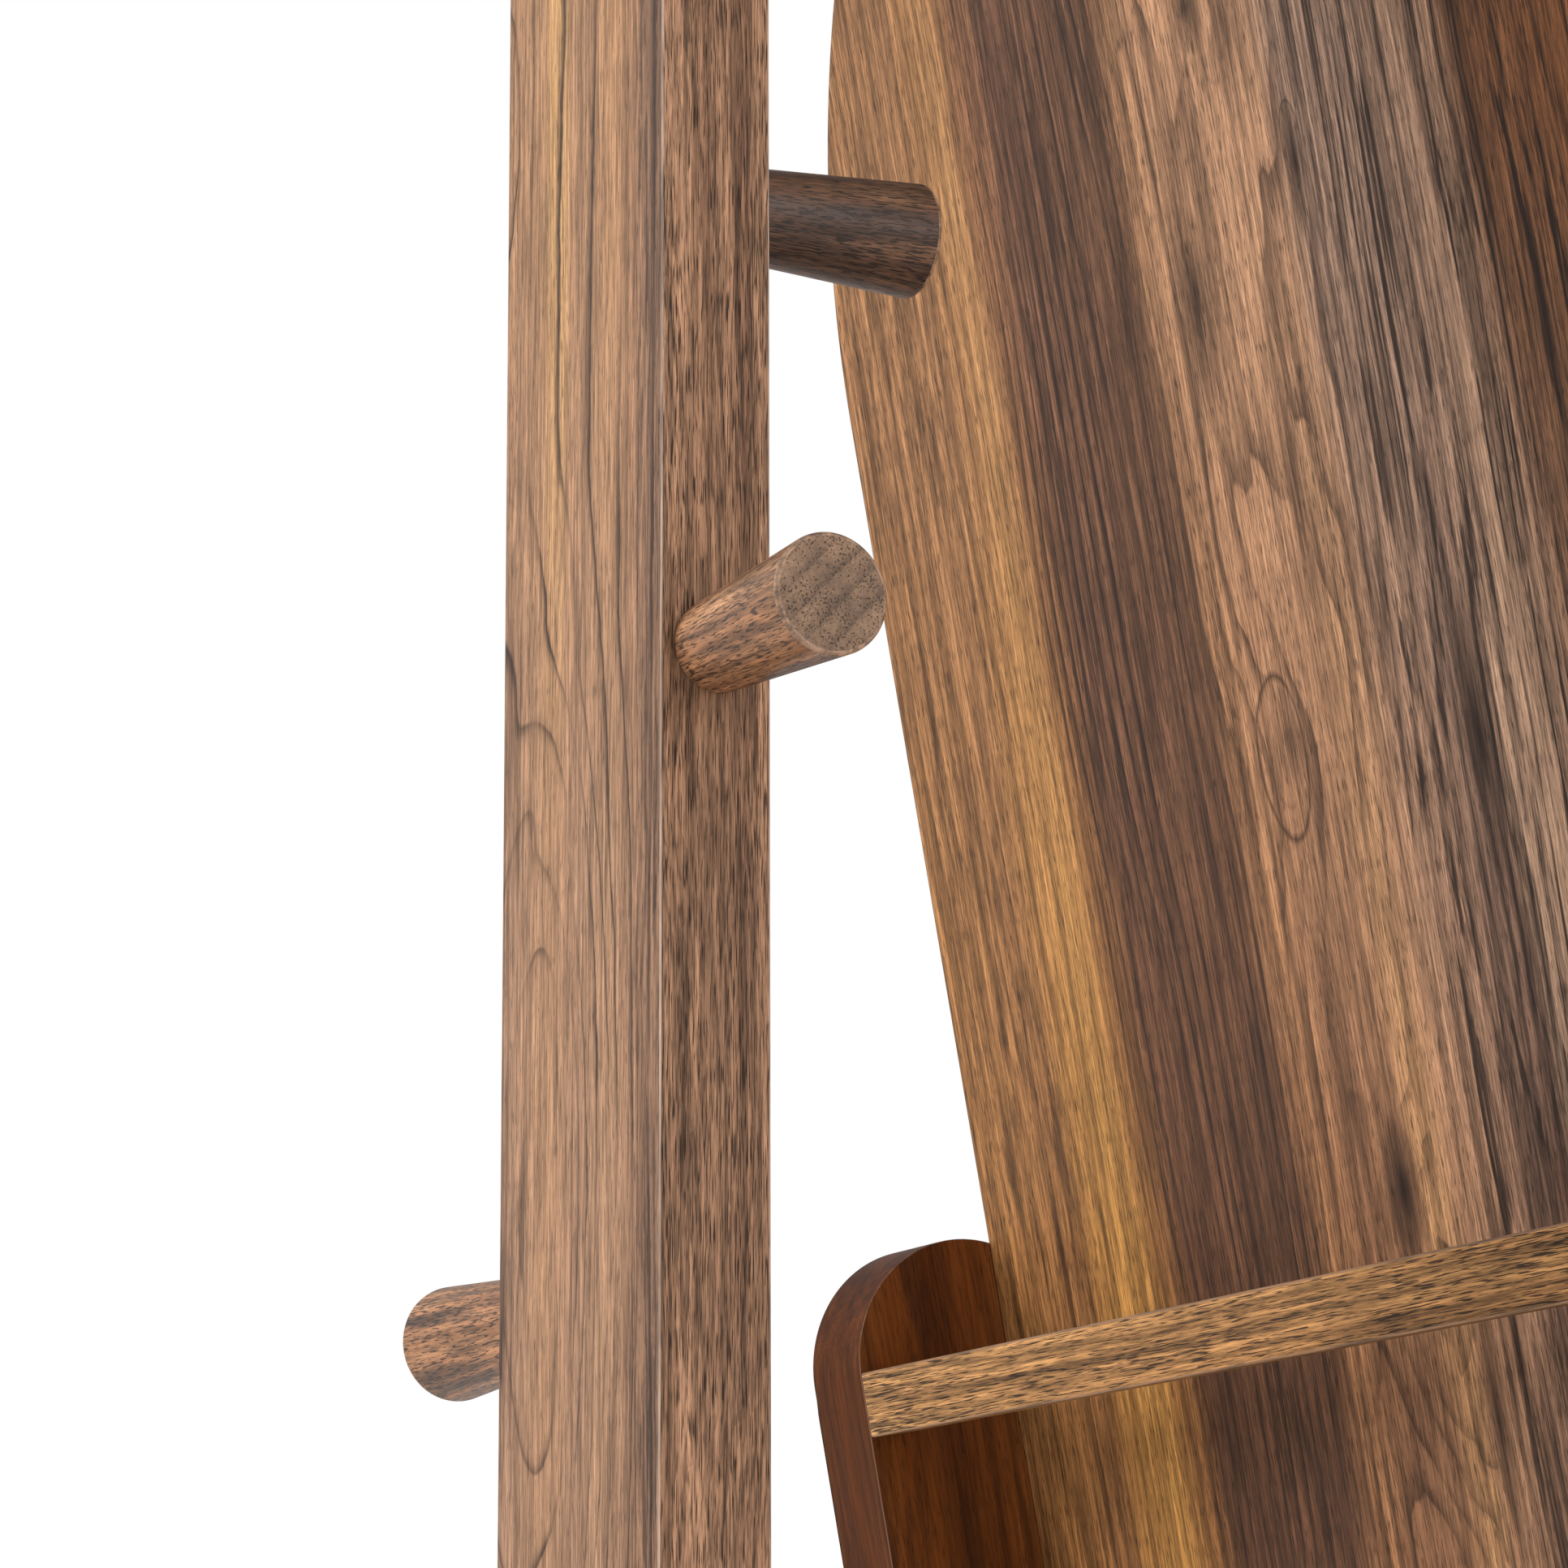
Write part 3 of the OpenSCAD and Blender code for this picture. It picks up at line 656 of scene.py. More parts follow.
# end grain on the face of a peg
pegEndLook = {
    **pegLook,
    "colours": [(0.34, tint(116, 91, 71)), (0.50, tint(136, 107, 84)), (0.66, tint(154, 121, 94))],
    "streaks": (0.86, 1.12),
    "veinDepth": 0.08,
    "fibres": (0.82, 1.18),
    "ringGap": 0.0058,
    "ringDepth": 0.5,
    "ringLine": 0.14,
    "quiver": (0.0008, 26),
    "poreScale": (1700, 1700, 150),
    "poreEdge": 0.60,
    "gleam": 0.2,
}
# the peg wood darkened as painted shade, for the front peg that sits in the shadow between the post and the
# board; the pegs on the back take it too
paintedShadePegLook = {
    **pegLook,
    "colours": [(0.34, tint(76, 52, 39)), (0.50, tint(108, 76, 56)), (0.66, tint(140, 104, 78))],
}
railLook = {
    "turn": alongX,
    "heart": (0.6, 0.5),
    "ringGap": 0.0065,
    "ringDepth": 0.4,
    "wander": (0.006, 0.006),
    "colours": [(0.34, tint(146, 104, 64)), (0.50, tint(182, 132, 82)), (0.66, tint(210, 158, 102))],
    "streaks": (0.60, 1.28),
    "streakScale": (420, 420, 7),
    "veinScale": (500, 500, 9),
    "veinDepth": 0.5,
    "fibres": (0.62, 1.34),
    "poreScale": (3000, 3000, 110),
    "poreEdge": 0.53,
    "poreDepth": 0.9,
}
# the inner faces of the legs: partly the wood's own colour, partly painted brighter and more orange as the
# warm bounce light inside the pocket
legInsideBounceLook = {
    "turn": alongBoard,
    "shift": onBoard,
    "heart": (0.5, 0.3),
    "ringGap": 0.010,
    "ringDepth": 0.4,
    "colours": [(0.34, tint(104, 58, 24)), (0.50, tint(134, 77, 32)), (0.66, tint(158, 95, 45))],
    "streaks": (0.74, 1.2),
    "veinDepth": 0.4,
    "fibres": (0.80, 1.16),
    "poreEdge": 0.60,
    "poreDepth": 0.5,
}
legEdgeLook = {
    "turn": alongBoard,
    "shift": onBoard,
    "heart": (0.5, 0.3),
    "ringGap": 0.014,
    "ringDepth": 0.2,
    "colours": [(0.34, tint(70, 36, 16)), (0.50, tint(90, 48, 23)), (0.66, tint(110, 62, 32))],
    "gleam": 0.05,
    "streaks": (0.72, 1.24),
    "streakScale": (190, 190, 14),
    "veinDepth": 0.35,
    "fibres": (0.80, 1.18),
    "poreEdge": 0.60,
    "poreDepth": 0.45,
    "roughness": (0.42, 0.52),
}
# the outsides of the legs are veneered like the board
legOutsideLook = {
    "turn": alongBoard,
    "shift": onBoard,
    "heart": (0.27, 0.25),
    "ringGap": 0.011,
    "ringDepth": 0.6,
    "bandScale": (34, 34, 0.8),
    "colours": [(0.34, tint(108, 74, 50)), (0.50, tint(146, 102, 70)), (0.66, tint(176, 128, 84))],
    "streaks": (0.62, 1.28),
    "fibres": (0.68, 1.30),
    "poreEdge": 0.58,
    "poreDepth": 0.5,
}
# how pale the wood shows along its eased edges: painted highlight colours, where the lacquer catches the
# light
arrisHighlightTones = {"post": (200, 172, 152), "board": (88, 60, 42), "leg": (134, 92, 68),
              "peg": (168, 132, 106), "rail": (166, 122, 84)}


def arris(name, turn, colour):
    # a painted highlight: the thin line along an eased edge, where the lacquer catches the light
    material, tree, shader, spot = startMaterial(name, turn)
    # noise breaks up the painted highlight along the edge, in colour and in gloss
    highlightBreakup = noiseOf(tree, spot, (300, 300, 22), 4.0, 0.7).outputs["Fac"]
    tree.links.new(rampOf(tree, highlightBreakup, [(0.38, shade(colour, 0.6)), (0.60, tint(*colour))]),
                   shader.inputs["Base Color"])
    gloss = rampOf(tree, highlightBreakup, greys((0.3, 0.5), (0.7, 0.36)))
    tree.links.new(gloss, shader.inputs["Roughness"])
    shader.inputs["Specular IOR Level"].default_value = 0.35
    return material


print("making the woods")
boardWood = walnut("boardVeneer", **boardLook)
boardArris = arris("boardArris", alongBoard, arrisHighlightTones["board"])
postFace = walnut("postFace", **postFaceLook)
postEdge = walnut("postEdge", **postEdgeLook)
postArris = arris("postArris", (0, 0, 0), arrisHighlightTones["post"])
legInsideBounce = walnut("legInsideBounce", **legInsideBounceLook)
legEdge = walnut("legEdge", **legEdgeLook)
legOutside = walnut("legOutside", **legOutsideLook)
legArris = arris("legArris", alongBoard, arrisHighlightTones["leg"])
railWood = walnut("railWood", **railLook)
railArris = arris("railArris", alongX, arrisHighlightTones["rail"])
slatWood = walnut("slatWood", **{**railLook, "turn": alongY, "shift": (0.3, 0.1, 0.7)})
slatArris = arris("slatArris", alongY, arrisHighlightTones["rail"])
barWood = walnut("barWood", **{**postEdgeLook, "turn": alongX, "shift": (0, 0, 0.4)})
barArris = arris("barArris", alongX, arrisHighlightTones["peg"])
armWood = walnut("armWood", **{**postEdgeLook, "turn": alongY, "shift": (0.2, 0, 0.9)})
armArris = arris("armArris", alongY, arrisHighlightTones["peg"])
pegWoodX = walnut("pegWoodX", **{**pegLook, "turn": alongX})
pegWoodYShaded = walnut("pegWoodYShaded", **{**paintedShadePegLook, "turn": alongY})
pegEndX = walnut("pegEndX", **{**pegEndLook, "turn": alongX})
pegEndY = walnut("pegEndY", **{**pegEndLook, "turn": alongY})
pegArrisX = arris("pegArrisX", alongX, arrisHighlightTones["peg"])
pegArrisY = arris("pegArrisY", alongY, arrisHighlightTones["peg"])


def metal(name, colour, roughness, spots):
    # drawn metal with a faint bloom
    material, tree, shader, spot = startMaterial(name)
    grain = noiseOf(tree, spot, (spots, spots, spots), 3.0, 0.6).outputs["Fac"]
    tree.links.new(rampOf(tree, grain, [(0.35, shade(colour, 0.82)), (0.65, tint(*colour))]),
                   shader.inputs["Base Color"])
    gloss = rampOf(tree, grain, greys((0.3, roughness + 0.1), (0.7, roughness)))
    tree.links.new(gloss, shader.inputs["Roughness"])
    addBump(tree, shader, grain, 0.15, 0.05 * mm)
    shader.inputs["Metallic"].default_value = 1.0
    return material


def grained(name, colour, spots, depth, roughness, sheen=0.0):
    # rubber, felt and moulded plastic: one colour broken up by a fine grain
    material, tree, shader, spot = startMaterial(name)
    grain = noiseOf(tree, spot, (spots, spots, spots), 4.0, 0.6).outputs["Fac"]
    tree.links.new(rampOf(tree, grain, [(0.3, shade(colour, 1 - depth)), (0.7, tint(*colour))]),
                   shader.inputs["Base Color"])
    gloss = rampOf(tree, grain, greys((0.3, roughness), (0.7, roughness - 0.12)))
    tree.links.new(gloss, shader.inputs["Roughness"])
    addBump(tree, shader, grain, 0.4, 0.1 * mm)
    shader.inputs["Sheen Weight"].default_value = sheen
    return material


def silvered(name):
    # a mirror's face, with the faintest haze
    material, tree, shader, spot = startMaterial(name)
    haze = noiseOf(tree, spot, (3, 3, 3)).outputs["Fac"]
    tree.links.new(rampOf(tree, haze, [(0.3, tint(226, 231, 230)), (0.7, tint(233, 237, 237))]),
                   shader.inputs["Base Color"])
    tree.links.new(rampOf(tree, haze, greys((0.3, 0.015), (0.7, 0.03))), shader.inputs["Roughness"])
    shader.inputs["Metallic"].default_value = 1.0
    return material


print("making the metals and the small materials")
brass = metal("satinBrass", (196, 164, 104), 0.28, 900)
steel = metal("zincSteel", (176, 178, 182), 0.32, 700)
mirrorFace = silvered("mirrorFace")
glassEdge = grained("glassEdge", (120, 158, 146), 60, 0.12, 0.25)
rubber = grained("blackRubber", (34, 34, 34), 900, 0.35, 0.85)
felt = grained("darkFelt", (52, 46, 42), 1400, 0.5, 0.98, 0.4)
nylon = grained("whiteNylon", (226, 221, 208), 500, 0.06, 0.55)
tapeFoam = grained("tapeFoam", (30, 30, 30), 1200, 0.3, 0.9)


boltPiece = {
    "sunk": 0.3 * mm,               # below the wood
    "holeGap": 0.4 * mm,            # round the head
    "sides": 48,
    "easing": 0.4 * mm,
    "socketDepth": 0.7,             # as shares of the head's height
    "crossDepth": 0.6,
    "crossSpan": 0.65,              # as a share of the head's width
}
# radius and height of each head, radius of the shank, and half the width of the key's socket or, on
# the slat and bracket screws, the width of the cross
headSizes = {
    "frame_bolts": (7 * mm, 3 * mm, 3 * mm, 2.2 * mm),
    "rack_pins": (8 * mm, 3 * mm, 4 * mm, 2.8 * mm),
    "rack_bolts": (6 * mm, 3 * mm, 3 * mm, 2.0 * mm),
    "arm_bolts": (9 * mm, 5 * mm, 4 * mm, 3.2 * mm),
    "cross_bar_bolts": (9 * mm, 5 * mm, 4 * mm, 3.2 * mm),
    "foot_bolts": (9 * mm, 5 * mm, 4 * mm, 3.2 * mm),
    "slat_screws": (4 * mm, 2 * mm, 2 * mm, 1.0 * mm),
    "bracket_screws": (5 * mm, 2 * mm, 2.5 * mm, 1.2 * mm),
}


def sinkHeads(piece, nodeName, places):
    radius, height = headSizes[nodeName][:2]
    sinkHoles(piece, places, radius + boltPiece["holeGap"], height + boltPiece["holeGap"])


def headPlaces(nodeName, axis, sign=0, turn=upright):
    # the middle of each head's outer face, looking out; without a sign it looks away from the middle
    places = []
    for low, high in solidCorners(nodeName, turn):
        point = (low + high) / 2
        way = sign or (1 if point.x > 0 else -1)
        point[axis] = high[axis] if way > 0 else low[axis]
        direction = Vector((0, 0, 0))
        direction[axis] = way
        places.append(outwards(direction, point, turn))
    return places


def onSide(places, side):
    return [seat for seat in places if seat.translation.x * side > 0]


boardPiece = {"easing": 0.6 * mm, "steps": 3, "sides": 256}
mirrorPiece = {"easing": 1.2 * mm, "steps": 2, "sides": 256}


def makeArch(nodeName, pieceName, materials, slot, sizes):
    # the board and its glass have a half-round top; each is made upright and then leaned back
    low, high = nodeCorners(nodeName, leaning)
    radius = (high.x - low.x) / 2
    centre = Vector((0, (low.y + high.y) / 2, high.z - radius))
    arch = roundEnd(pieceName, radius, high.y - low.y, centre.z - low.z, materials, sizes["sides"])
    place(arch, Matrix.Rotation(quarter, 4, "Z"))
    ease(arch, sizes["easing"], sizes["steps"])
    place(arch, leaning @ Matrix.Translation(centre))
    install(arch, "mirror_frame", slot, nodeName)


legPiece = {
    "easing": 0.7 * mm,
    "sides": 160,
    "spare": 30 * mm,               # length to saw off level with the floor
}


def makeLeg(nodeName):
    low, high = nodeCorners(nodeName, leaning)
    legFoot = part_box(nodeName)[0].z
    radius = (high.y - low.y) / 2
    centre = Vector(((low.x + high.x) / 2, (low.y + high.y) / 2, high.z - radius))
    leg = roundEnd(nodeName + "Board", radius, high.x - low.x, centre.z - low.z + legPiece["spare"],
                   [legInsideBounce, legArris, legEdge, legOutside], legPiece["sides"])
    place(leg, leaning @ Matrix.Translation(centre))
    pickAll(leg)
    bpy.ops.mesh.bisect(plane_co=(0, 0, legFoot), plane_no=(0, 0, 1), use_fill=True, clear_inner=True)
    doneEditing()
    side = 1 if centre.x > 0 else -1
    for bolts in ("frame_bolts", "rack_pins"):
        sinkHeads(leg, bolts, onSide(headPlaces(bolts, 0), side))
    ease(leg, legPiece["easing"])
    # the round and straight edges are darker, and the outside is veneered; the inner faces keep the wood
    # painted brighter and more orange, as painted bounce light
    for face in leg.data.polygons:
        if face.material_index == 0 and abs(face.normal.x) < 0.5:
            face.material_index = 2
        elif face.material_index == 0 and face.normal.x * side > 0.5:
            face.material_index = 3
    install(leg, "mirror_frame", "dark_walnut", nodeName)


railPiece = {"easing": 0.7 * mm}
pocketPiece = {"easing": 0.8 * mm}
legPadPiece = {"easing": 0.9 * mm}
tapePiece = {"easing": 0.1 * mm}


def makeFrameBlocks():
    for nodeName in ("top_rail", "lower_rail", "bottom_rail"):
        rail = nodeBlock(nodeName, nodeName + "Bar", [railWood, railArris], railPiece["easing"], leaning)
        install(rail, "mirror_frame", "light_walnut", nodeName)
    for nodeName in ("top_pocket_floor", "lower_pocket_floor"):
        floorBoard = nodeBlock(nodeName, nodeName + "Board", [barWood, barArris],
                               pocketPiece["easing"], leaning)
        install(floorBoard, "mirror_frame", "walnut_veneer", nodeName)
    pads = [block("legPad", low, high, [rubber], legPadPiece["easing"])
            for low, high in solidCorners("leg_pads")]
    install(joinPieces("legPads", pads), "mirror_frame", "rubber", "leg_pads")
    tapes = [block("tapeStrip", low, high, [tapeFoam], tapePiece["easing"], leaning)
             for low, high in solidCorners("mirror_tape", leaning)]
    install(joinPieces("mirrorTape", tapes), "mirror_frame", "tape", "mirror_tape")


def boltMaster(nodeName, name, material, length, crossed=False):
    # the head's outer face looks along +Z at the origin; a key's socket or a cross is sunk into it
    headRadius, headHeight, shankRadius, socket = headSizes[nodeName]
    bpy.ops.object.select_all(action="DESELECT")
    bpy.ops.mesh.primitive_cylinder_add(vertices=boltPiece["sides"], radius=headRadius, depth=headHeight,
                                        location=(0, 0, -headHeight / 2))
    bolt = newPiece(name, [material])
    applyPlace(bolt)
    pickFaces(bolt, facesDown)
    bpy.ops.mesh.inset(thickness=headRadius - shankRadius)
    extrude((0, 0, headHeight - length))
    doneEditing()
    ease(bolt, boltPiece["easing"], 2)
    cutters = []
    for angle in (0, quarter) if crossed else (0,):
        bpy.ops.object.select_all(action="DESELECT")
        if crossed:
            bpy.ops.mesh.primitive_cube_add(size=1, rotation=(0, 0, angle))
            bpy.context.active_object.scale = (2 * headRadius * boltPiece["crossSpan"], socket,
                                               2 * headHeight * boltPiece["crossDepth"])
        else:
            bpy.ops.mesh.primitive_cylinder_add(vertices=6, radius=socket,
                                                depth=2 * headHeight * boltPiece["socketDepth"])
        cutter = newPiece("socketCutter", [material])
        applyPlace(cutter)
        cutters.append(cutter)
    return cutWith(bolt, cutters)


def fitBolts(nodeName, pieceName, material, body, slot, places, crossed=False, sunk=boltPiece["sunk"],
             turn=upright):
    low, high = solidCorners(nodeName, turn)[0]
    length = max(high - low)
    master = boltMaster(nodeName, pieceName, material, length, crossed)
    inwards = Matrix.Translation((0, 0, -sunk))
    copies = [copyTo(master, seat @ inwards) for seat in places]
    bpy.data.objects.remove(master)
    install(joinPieces(pieceName, copies), body, slot, nodeName)


def makeBolts():
    fitBolts("frame_bolts", "frameBolts", brass, "mirror_frame", "brass", headPlaces("frame_bolts", 0))
    fitBolts("rack_pins", "rackPins", steel, "mirror_frame", "steel", headPlaces("rack_pins", 0))
    fitBolts("rack_bolts", "rackBolts", brass, "rack", "brass", headPlaces("rack_bolts", 0))
    fitBolts("arm_bolts", "armBolts", brass, "post", "brass", headPlaces("arm_bolts", 1, 1))
    fitBolts("cross_bar_bolts", "crossBarBolts", brass, "post", "brass",
             headPlaces("cross_bar_bolts", 1, 1))
    fitBolts("foot_bolts", "footBolts", steel, "post", "steel", headPlaces("foot_bolts", 2, -1))
    fitBolts("slat_screws", "slatScrews", brass, "rack", "brass", headPlaces("slat_screws", 2, 1), True)
    fitBolts("bracket_screws", "bracketScrews", brass, "mirror_frame", "brass",
             headPlaces("bracket_screws", 1, 1, leaning), True, 0.0, leaning)


bracketPiece = {"thickness": 4 * mm, "easing": 0.5 * mm, "earSides": 64}


def makeBracket():
    # a brass plate on the board, and two ears with round ends that hold the pin
    thick = bracketPiece["thickness"]
    low, high = nodeCorners("hinge_bracket", leaning)
    pinLow, pinHigh = nodeCorners("hinge_pin", leaning)
    pinCentre = (pinLow + pinHigh) / 2
    parts = [block("plate", low, Vector((high.x, low.y + thick, high.z)), [brass],
                   bracketPiece["easing"], leaning)]
    earRadius = high.y - pinCentre.y
    for washerLow, washerHigh in solidCorners("hinge_washers"):
        side = 1 if washerHigh.x > 0 else -1
        inner = max(abs(washerLow.x), abs(washerHigh.x))
        ear = roundEnd("ear", earRadius, thick, pinCentre.y - low.y, [brass], bracketPiece["earSides"])
        ease(ear, bracketPiece["easing"])
        centre = Vector((side * (inner + thick / 2), pinCentre.y, pinCentre.z))
        place(ear, leaning @ Matrix.Translation(centre) @ Matrix.Rotation(-quarter, 4, "X"))
        parts.append(ear)
    install(joinPieces("hingeBracket", parts), "mirror_frame", "brass", "hinge_bracket")


armPiece = {"easing": 1.2 * mm, "sides": 96}


def makeArm():
    low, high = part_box("hinge_arm")
    radius = (high.z - low.z) / 2
    arm = roundEnd("hingeArm", radius, high.x - low.x, high.y - low.y - radius,
                   [armWood, armArris], armPiece["sides"])
    ease(arm, armPiece["easing"])
    centre = Vector((0, low.y + radius, (low.z + high.z) / 2))
    place(arm, Matrix.Translation(centre) @ Matrix.Rotation(quarter, 4, "X"))
    install(arm, "post", "walnut", "hinge_arm")


postPiece = {"easing": 0.5 * mm}


def makePost():
    backBolts = headPlaces("arm_bolts", 1, 1) + headPlaces("cross_bar_bolts", 1, 1)
    post = nodeBlock("coat_post", "coatPost", [postFace, postArris, postEdge], postPiece["easing"],
                     screws=("arm_bolts", backBolts))
    for face in post.data.polygons:
        if face.material_index == 0 and abs(face.normal.x) > 0.5:
            face.material_index = 2
    install(post, "post", "walnut", "coat_post")


footPiece = {
    "easing": 2.0 * mm,
    "sides": 128,                   # round a whole circle; each end of the foot is half of one
    "seam": 0.05 * mm,              # the two roundings of an end meet within this
}


def makeFoot():
    low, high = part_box("foot_bar")
    foot = plainBox("footBar", low, high, [barWood, barArris])
    pickEdges(foot, lambda start, end: abs(start.z - end.z) > (high.z - low.z) / 2)
    bpy.ops.mesh.bevel(offset=(high.y - low.y) / 2, segments=footPiece["sides"] // 4, affect="EDGES")
    bpy.ops.mesh.select_all(action="SELECT")
    bpy.ops.mesh.remove_doubles(threshold=footPiece["seam"])
    doneEditing()
    sinkHeads(foot, "foot_bolts", headPlaces("foot_bolts", 2, -1))
    ease(foot, footPiece["easing"])
    install(foot, "post", "walnut", "foot_bar")


crossBarPiece = {"easing": 1.2 * mm}


def makeCrossBar():
    bar = nodeBlock("cross_bar", "crossBar", [barWood, barArris], crossBarPiece["easing"])
    install(bar, "post", "walnut", "cross_bar")


footPadPiece = {"easing": 0.7 * mm, "sides": 64, "rim": 5 * mm, "hollow": 1 * mm}


def makeFootPads():
    # round rubber feet, hollowed underneath inside a rim
    pads = []
    for low, high in solidCorners("foot_pads"):
        bpy.ops.object.select_all(action="DESELECT")
        bpy.ops.mesh.primitive_cylinder_add(vertices=footPadPiece["sides"], radius=(high.x - low.x) / 2,
                                            depth=high.z - low.z, location=(low + high) / 2)
        pad = newPiece("footPad", [rubber])
        applyPlace(pad)
        pickFaces(pad, facesDown)
        bpy.ops.mesh.inset(thickness=footPadPiece["rim"])
        extrude((0, 0, footPadPiece["hollow"]))
        doneEditing()
        ease(pad, footPadPiece["easing"], 2)
        pads.append(pad)
    install(joinPieces("footPads", pads), "post", "rubber", "foot_pads")


pegPiece = {"sides": 96, "rim": 1.1 * mm, "rimSteps": 4}


def makePeg(number):
    # a turned peg that widens towards its free end, with end grain on its face
    nodeName = "peg_" + str(number)
    low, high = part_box(nodeName)
    postLow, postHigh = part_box("coat_post")
    middle = (low + high) / 2
    size = high - low
    sideways = size.x > size.y
    axis = 0 if sideways else 1
    sign = 1 if middle[axis] > (postLow[axis] + postHigh[axis]) / 2 else -1
    direction = Vector((sign, 0, 0)) if sideways else Vector((0, sign, 0))
    foot = low[axis] if sign > 0 else high[axis]
    corners = [v.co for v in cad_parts[nodeName].data.vertices]
    footRadius = max(abs(c.z - middle.z) for c in corners if abs(c[axis] - foot) < 10 * weld)
    bpy.ops.object.select_all(action="DESELECT")
    bpy.ops.mesh.primitive_cone_add(vertices=pegPiece["sides"], radius1=footRadius, radius2=size.z / 2,
                                    depth=size[axis], location=(0, 0, 0))
    # the pegs along Y take the darker wood with the painted shade
    materials = [pegWoodX, pegArrisX, pegEndX] if sideways else [pegWoodYShaded, pegArrisY, pegEndY]
    peg = newPiece("peg" + str(number), materials)
    applyPlace(peg)
    ease(peg, pegPiece["rim"], pegPiece["rimSteps"])
    for face in peg.data.polygons:
        if face.material_index == 0 and face.normal.z > 0.9:
            face.material_index = 2
    place(peg, outwards(direction, middle))
    install(peg, "post", "peg_walnut", nodeName)


rackPiece = {
    "easing": 1.0 * mm,
    "slatEasing": 1.5 * mm,
    "padEasing": 0.5 * mm,
    "sides": 96,
    "lipGap": 0.5 * mm,             # from the post's cross bar to the stop lip
}


def makeRackSide(nodeName):
    # a rail with a round end at its pivot and a stop lip drawn down at the other
    low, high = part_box(nodeName)
    pinLow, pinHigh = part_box("rack_pins")
    pinCentre = (pinLow + pinHigh) / 2
    radius = high.z - pinCentre.z
    length = high.y - pinCentre.y
    side = roundEnd(nodeName + "Rail", radius, high.x - low.x, length, [armWood, armArris],
                    rackPiece["sides"])
    # turned so that the straight part runs along +Y
    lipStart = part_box("cross_bar")[1].y + rackPiece["lipGap"] - pinCentre.y
    place(side, Matrix.Rotation(quarter, 4, "X"))
    pickAll(side)
    bpy.ops.mesh.bisect(plane_co=(0, lipStart, 0), plane_no=(0, 1, 0))
    doneEditing()
    pickFaces(side, lambda centre, normal: facesDown(centre, normal) and centre.y > lipStart)
    extrude((0, 0, low.z - pinCentre.z + radius))
    doneEditing()
    place(side, Matrix.Translation(Vector(((low.x + high.x) / 2, pinCentre.y, pinCentre.z))))
    outside = 1 if low.x > 0 else -1
    sinkHeads(side, "rack_bolts", onSide(headPlaces("rack_bolts", 0), outside))
    ease(side, rackPiece["easing"])
    install(side, "rack", "walnut", nodeName)


def makeRack():
    for nodeName in ("rack_side_left", "rack_side_right"):
        makeRackSide(nodeName)
    for nodeName in ("front_batten", "middle_batten", "rear_batten_left", "rear_batten_right"):
        batten = nodeBlock(nodeName, nodeName + "Bar", [barWood, barArris], rackPiece["easing"])
        install(batten, "rack", "walnut", nodeName)
    screws = headPlaces("slat_screws", 2, 1)
    for number in range(1, 7):
        nodeName = "rack_slat_" + str(number)
        low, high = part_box(nodeName)
        ownScrews = [seat for seat in screws if low.x < seat.translation.x < high.x]
        slat = nodeBlock(nodeName, "slat" + str(number), [slatWood, slatArris], rackPiece["slatEasing"],
                         screws=("slat_screws", ownScrews))
        install(slat, "rack", "light_walnut", nodeName)
    pads = [block("rackPad", low, high, [felt], rackPiece["padEasing"])
            for low, high in solidCorners("rack_pads")]
    install(joinPieces("rackPads", pads), "rack", "felt", "rack_pads")


def dressHiddenNodes():
    # these keep their own shape: they sit inside the joints and need only their finish
    finishes = {"hinge_pin": steel, "hinge_nut": steel, "hinge_washers": nylon, "rack_washers": nylon,
                "peg_studs": steel, "arm_bush": brass, "rack_bushes": brass}
    for nodeName, material in finishes.items():
        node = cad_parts[nodeName]
        node.data.materials.clear()
        node.data.materials.append(material)


print("modelling the mirror frame")
makeArch("arch_board", "archedBoard", [boardWood, boardArris], "walnut_veneer", boardPiece)
makeArch("mirror_glass", "mirrorGlass", [mirrorFace, glassEdge], "mirror", mirrorPiece)
makeLeg("left_leg")
makeLeg("right_leg")
makeFrameBlocks()
print("modelling the hinge and the post")
makeBracket()
makeArm()
makePost()
makeFoot()
makeCrossBar()
makeFootPads()
for pegNumber in range(1, 9):
    makePeg(pegNumber)
print("modelling the rack")
makeRack()
print("fitting bolts and screws")
makeBolts()
dressHiddenNodes()

cameraSettings = {
    "target": (0, 0.1656, 1.2689),  # the point that the lens is aimed at
    "distance": 1.4571,
    "heading": math.radians(62.467),    # from -Y round towards +X
    "pitch": math.radians(12.305),      # upwards
    "roll": math.radians(-0.125),
    "lens": 132.45,
    "sensor": 36,
    "nearest": 0.05,
    "farthest": 50,
}


def addCamera():
    heading, pitch = cameraSettings["heading"], cameraSettings["pitch"]
    forward = Vector((math.sin(heading) * math.cos(pitch), -math.cos(heading) * math.cos(pitch),
                      math.sin(pitch)))
    data = bpy.data.cameras.new("studioCamera")
    data.lens = cameraSettings["lens"]
    data.sensor_width = cameraSettings["sensor"]
    data.clip_start = cameraSettings["nearest"]
    data.clip_end = cameraSettings["farthest"]
    camera = bpy.data.objects.new("studioCamera", data)
    bpy.context.scene.collection.objects.link(camera)
    aim = forward.to_track_quat("-Z", "Y").to_matrix().to_4x4()
    roll = Matrix.Rotation(cameraSettings["roll"], 4, "Z")
    camera.matrix_world = Matrix.Translation(
        Vector(cameraSettings["target"]) - forward * cameraSettings["distance"]) @ aim @ roll
    bpy.context.scene.camera = camera


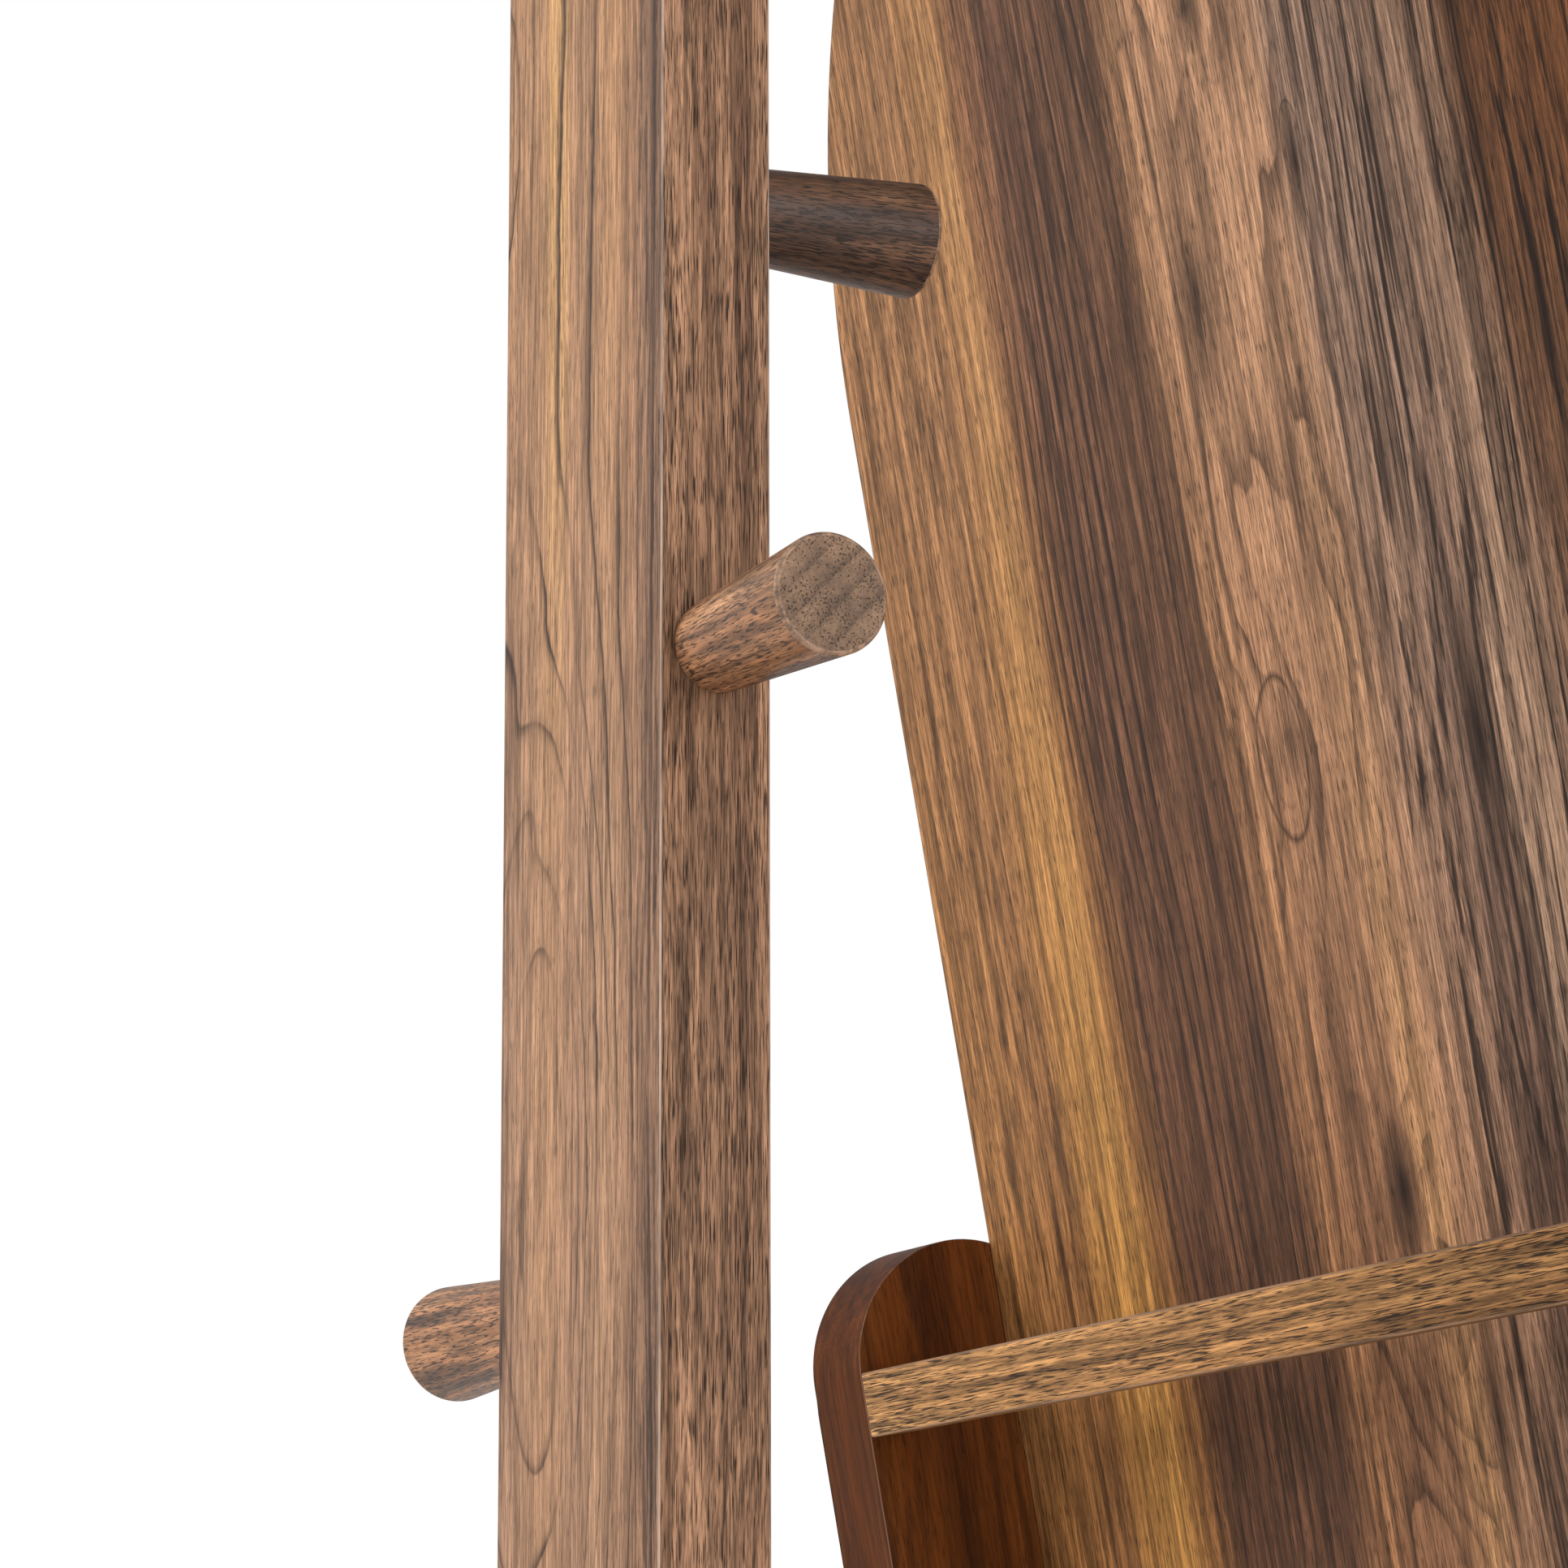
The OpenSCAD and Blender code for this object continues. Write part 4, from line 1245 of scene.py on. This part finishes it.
lightTarget = (0, 0.1, 1.1)
lights = {
    "keyLight": {"place": (1.3, 3.0, 2.5), "size": 2.2, "power": 82, "warmth": (1.0, 0.985, 0.96)},
    "sideLight": {"place": (-2.6, -0.6, 2.0), "size": 2.4, "power": 52, "warmth": (1.0, 0.99, 0.98)},
    "frontLight": {"place": (0.4, -3.2, 2.4), "size": 2.4, "power": 44, "warmth": (1.0, 1.0, 1.0)},
}


def addLights():
    for name, light in lights.items():
        data = bpy.data.lights.new(name, "AREA")
        data.size = light["size"]
        data.energy = light["power"]
        data.color = light["warmth"]
        lamp = bpy.data.objects.new(name, data)
        bpy.context.scene.collection.objects.link(lamp)
        origin = Vector(light["place"])
        aim = (Vector(lightTarget) - origin).to_track_quat("-Z", "Y").to_matrix().to_4x4()
        lamp.matrix_world = Matrix.Translation(origin) @ aim


# how bright the backdrop is to the camera, to the object and in a reflection, then the floor itself
backdrop = {"seen": 1.0, "glow": 0.45, "mirrored": 0.65, "floorGlow": 0.34, "floorSize": 60}


def addBackdrop():
    world = bpy.data.worlds.new("paleStudio")
    world.use_nodes = True
    tree = world.node_tree
    background = tree.nodes["Background"]
    path = tree.nodes.new("ShaderNodeLightPath")
    strength = addNode(tree, "ShaderNodeMapRange", {
        "Value": path.outputs["Is Camera Ray"], "To Min": backdrop["glow"], "To Max": backdrop["seen"]})
    mirrored = mathOf(tree, "MULTIPLY", path.outputs["Is Glossy Ray"], backdrop["mirrored"])
    strength = mathOf(tree, "MAXIMUM", strength.outputs[0], mirrored)
    tree.links.new(strength, background.inputs["Strength"])
    background.inputs["Color"].default_value = (1, 1, 1, 1)
    bpy.context.scene.world = world
    bpy.ops.object.select_all(action="DESELECT")
    bpy.ops.mesh.primitive_plane_add(size=backdrop["floorSize"], location=(0, 0, 0))
    paleFloor = grained("paleFloor", (226, 225, 222), 30, 0.02, 0.75)
    shader = paleFloor.node_tree.nodes["Principled BSDF"]
    shader.inputs["Emission Color"].default_value = (1, 1, 1, 1)
    shader.inputs["Emission Strength"].default_value = backdrop["floorGlow"]
    newPiece("studioFloor", [paleFloor])


print("setting up the studio")
addCamera()
addLights()
addBackdrop()
bpy.context.scene.view_settings.view_transform = "Standard"

print("finished")
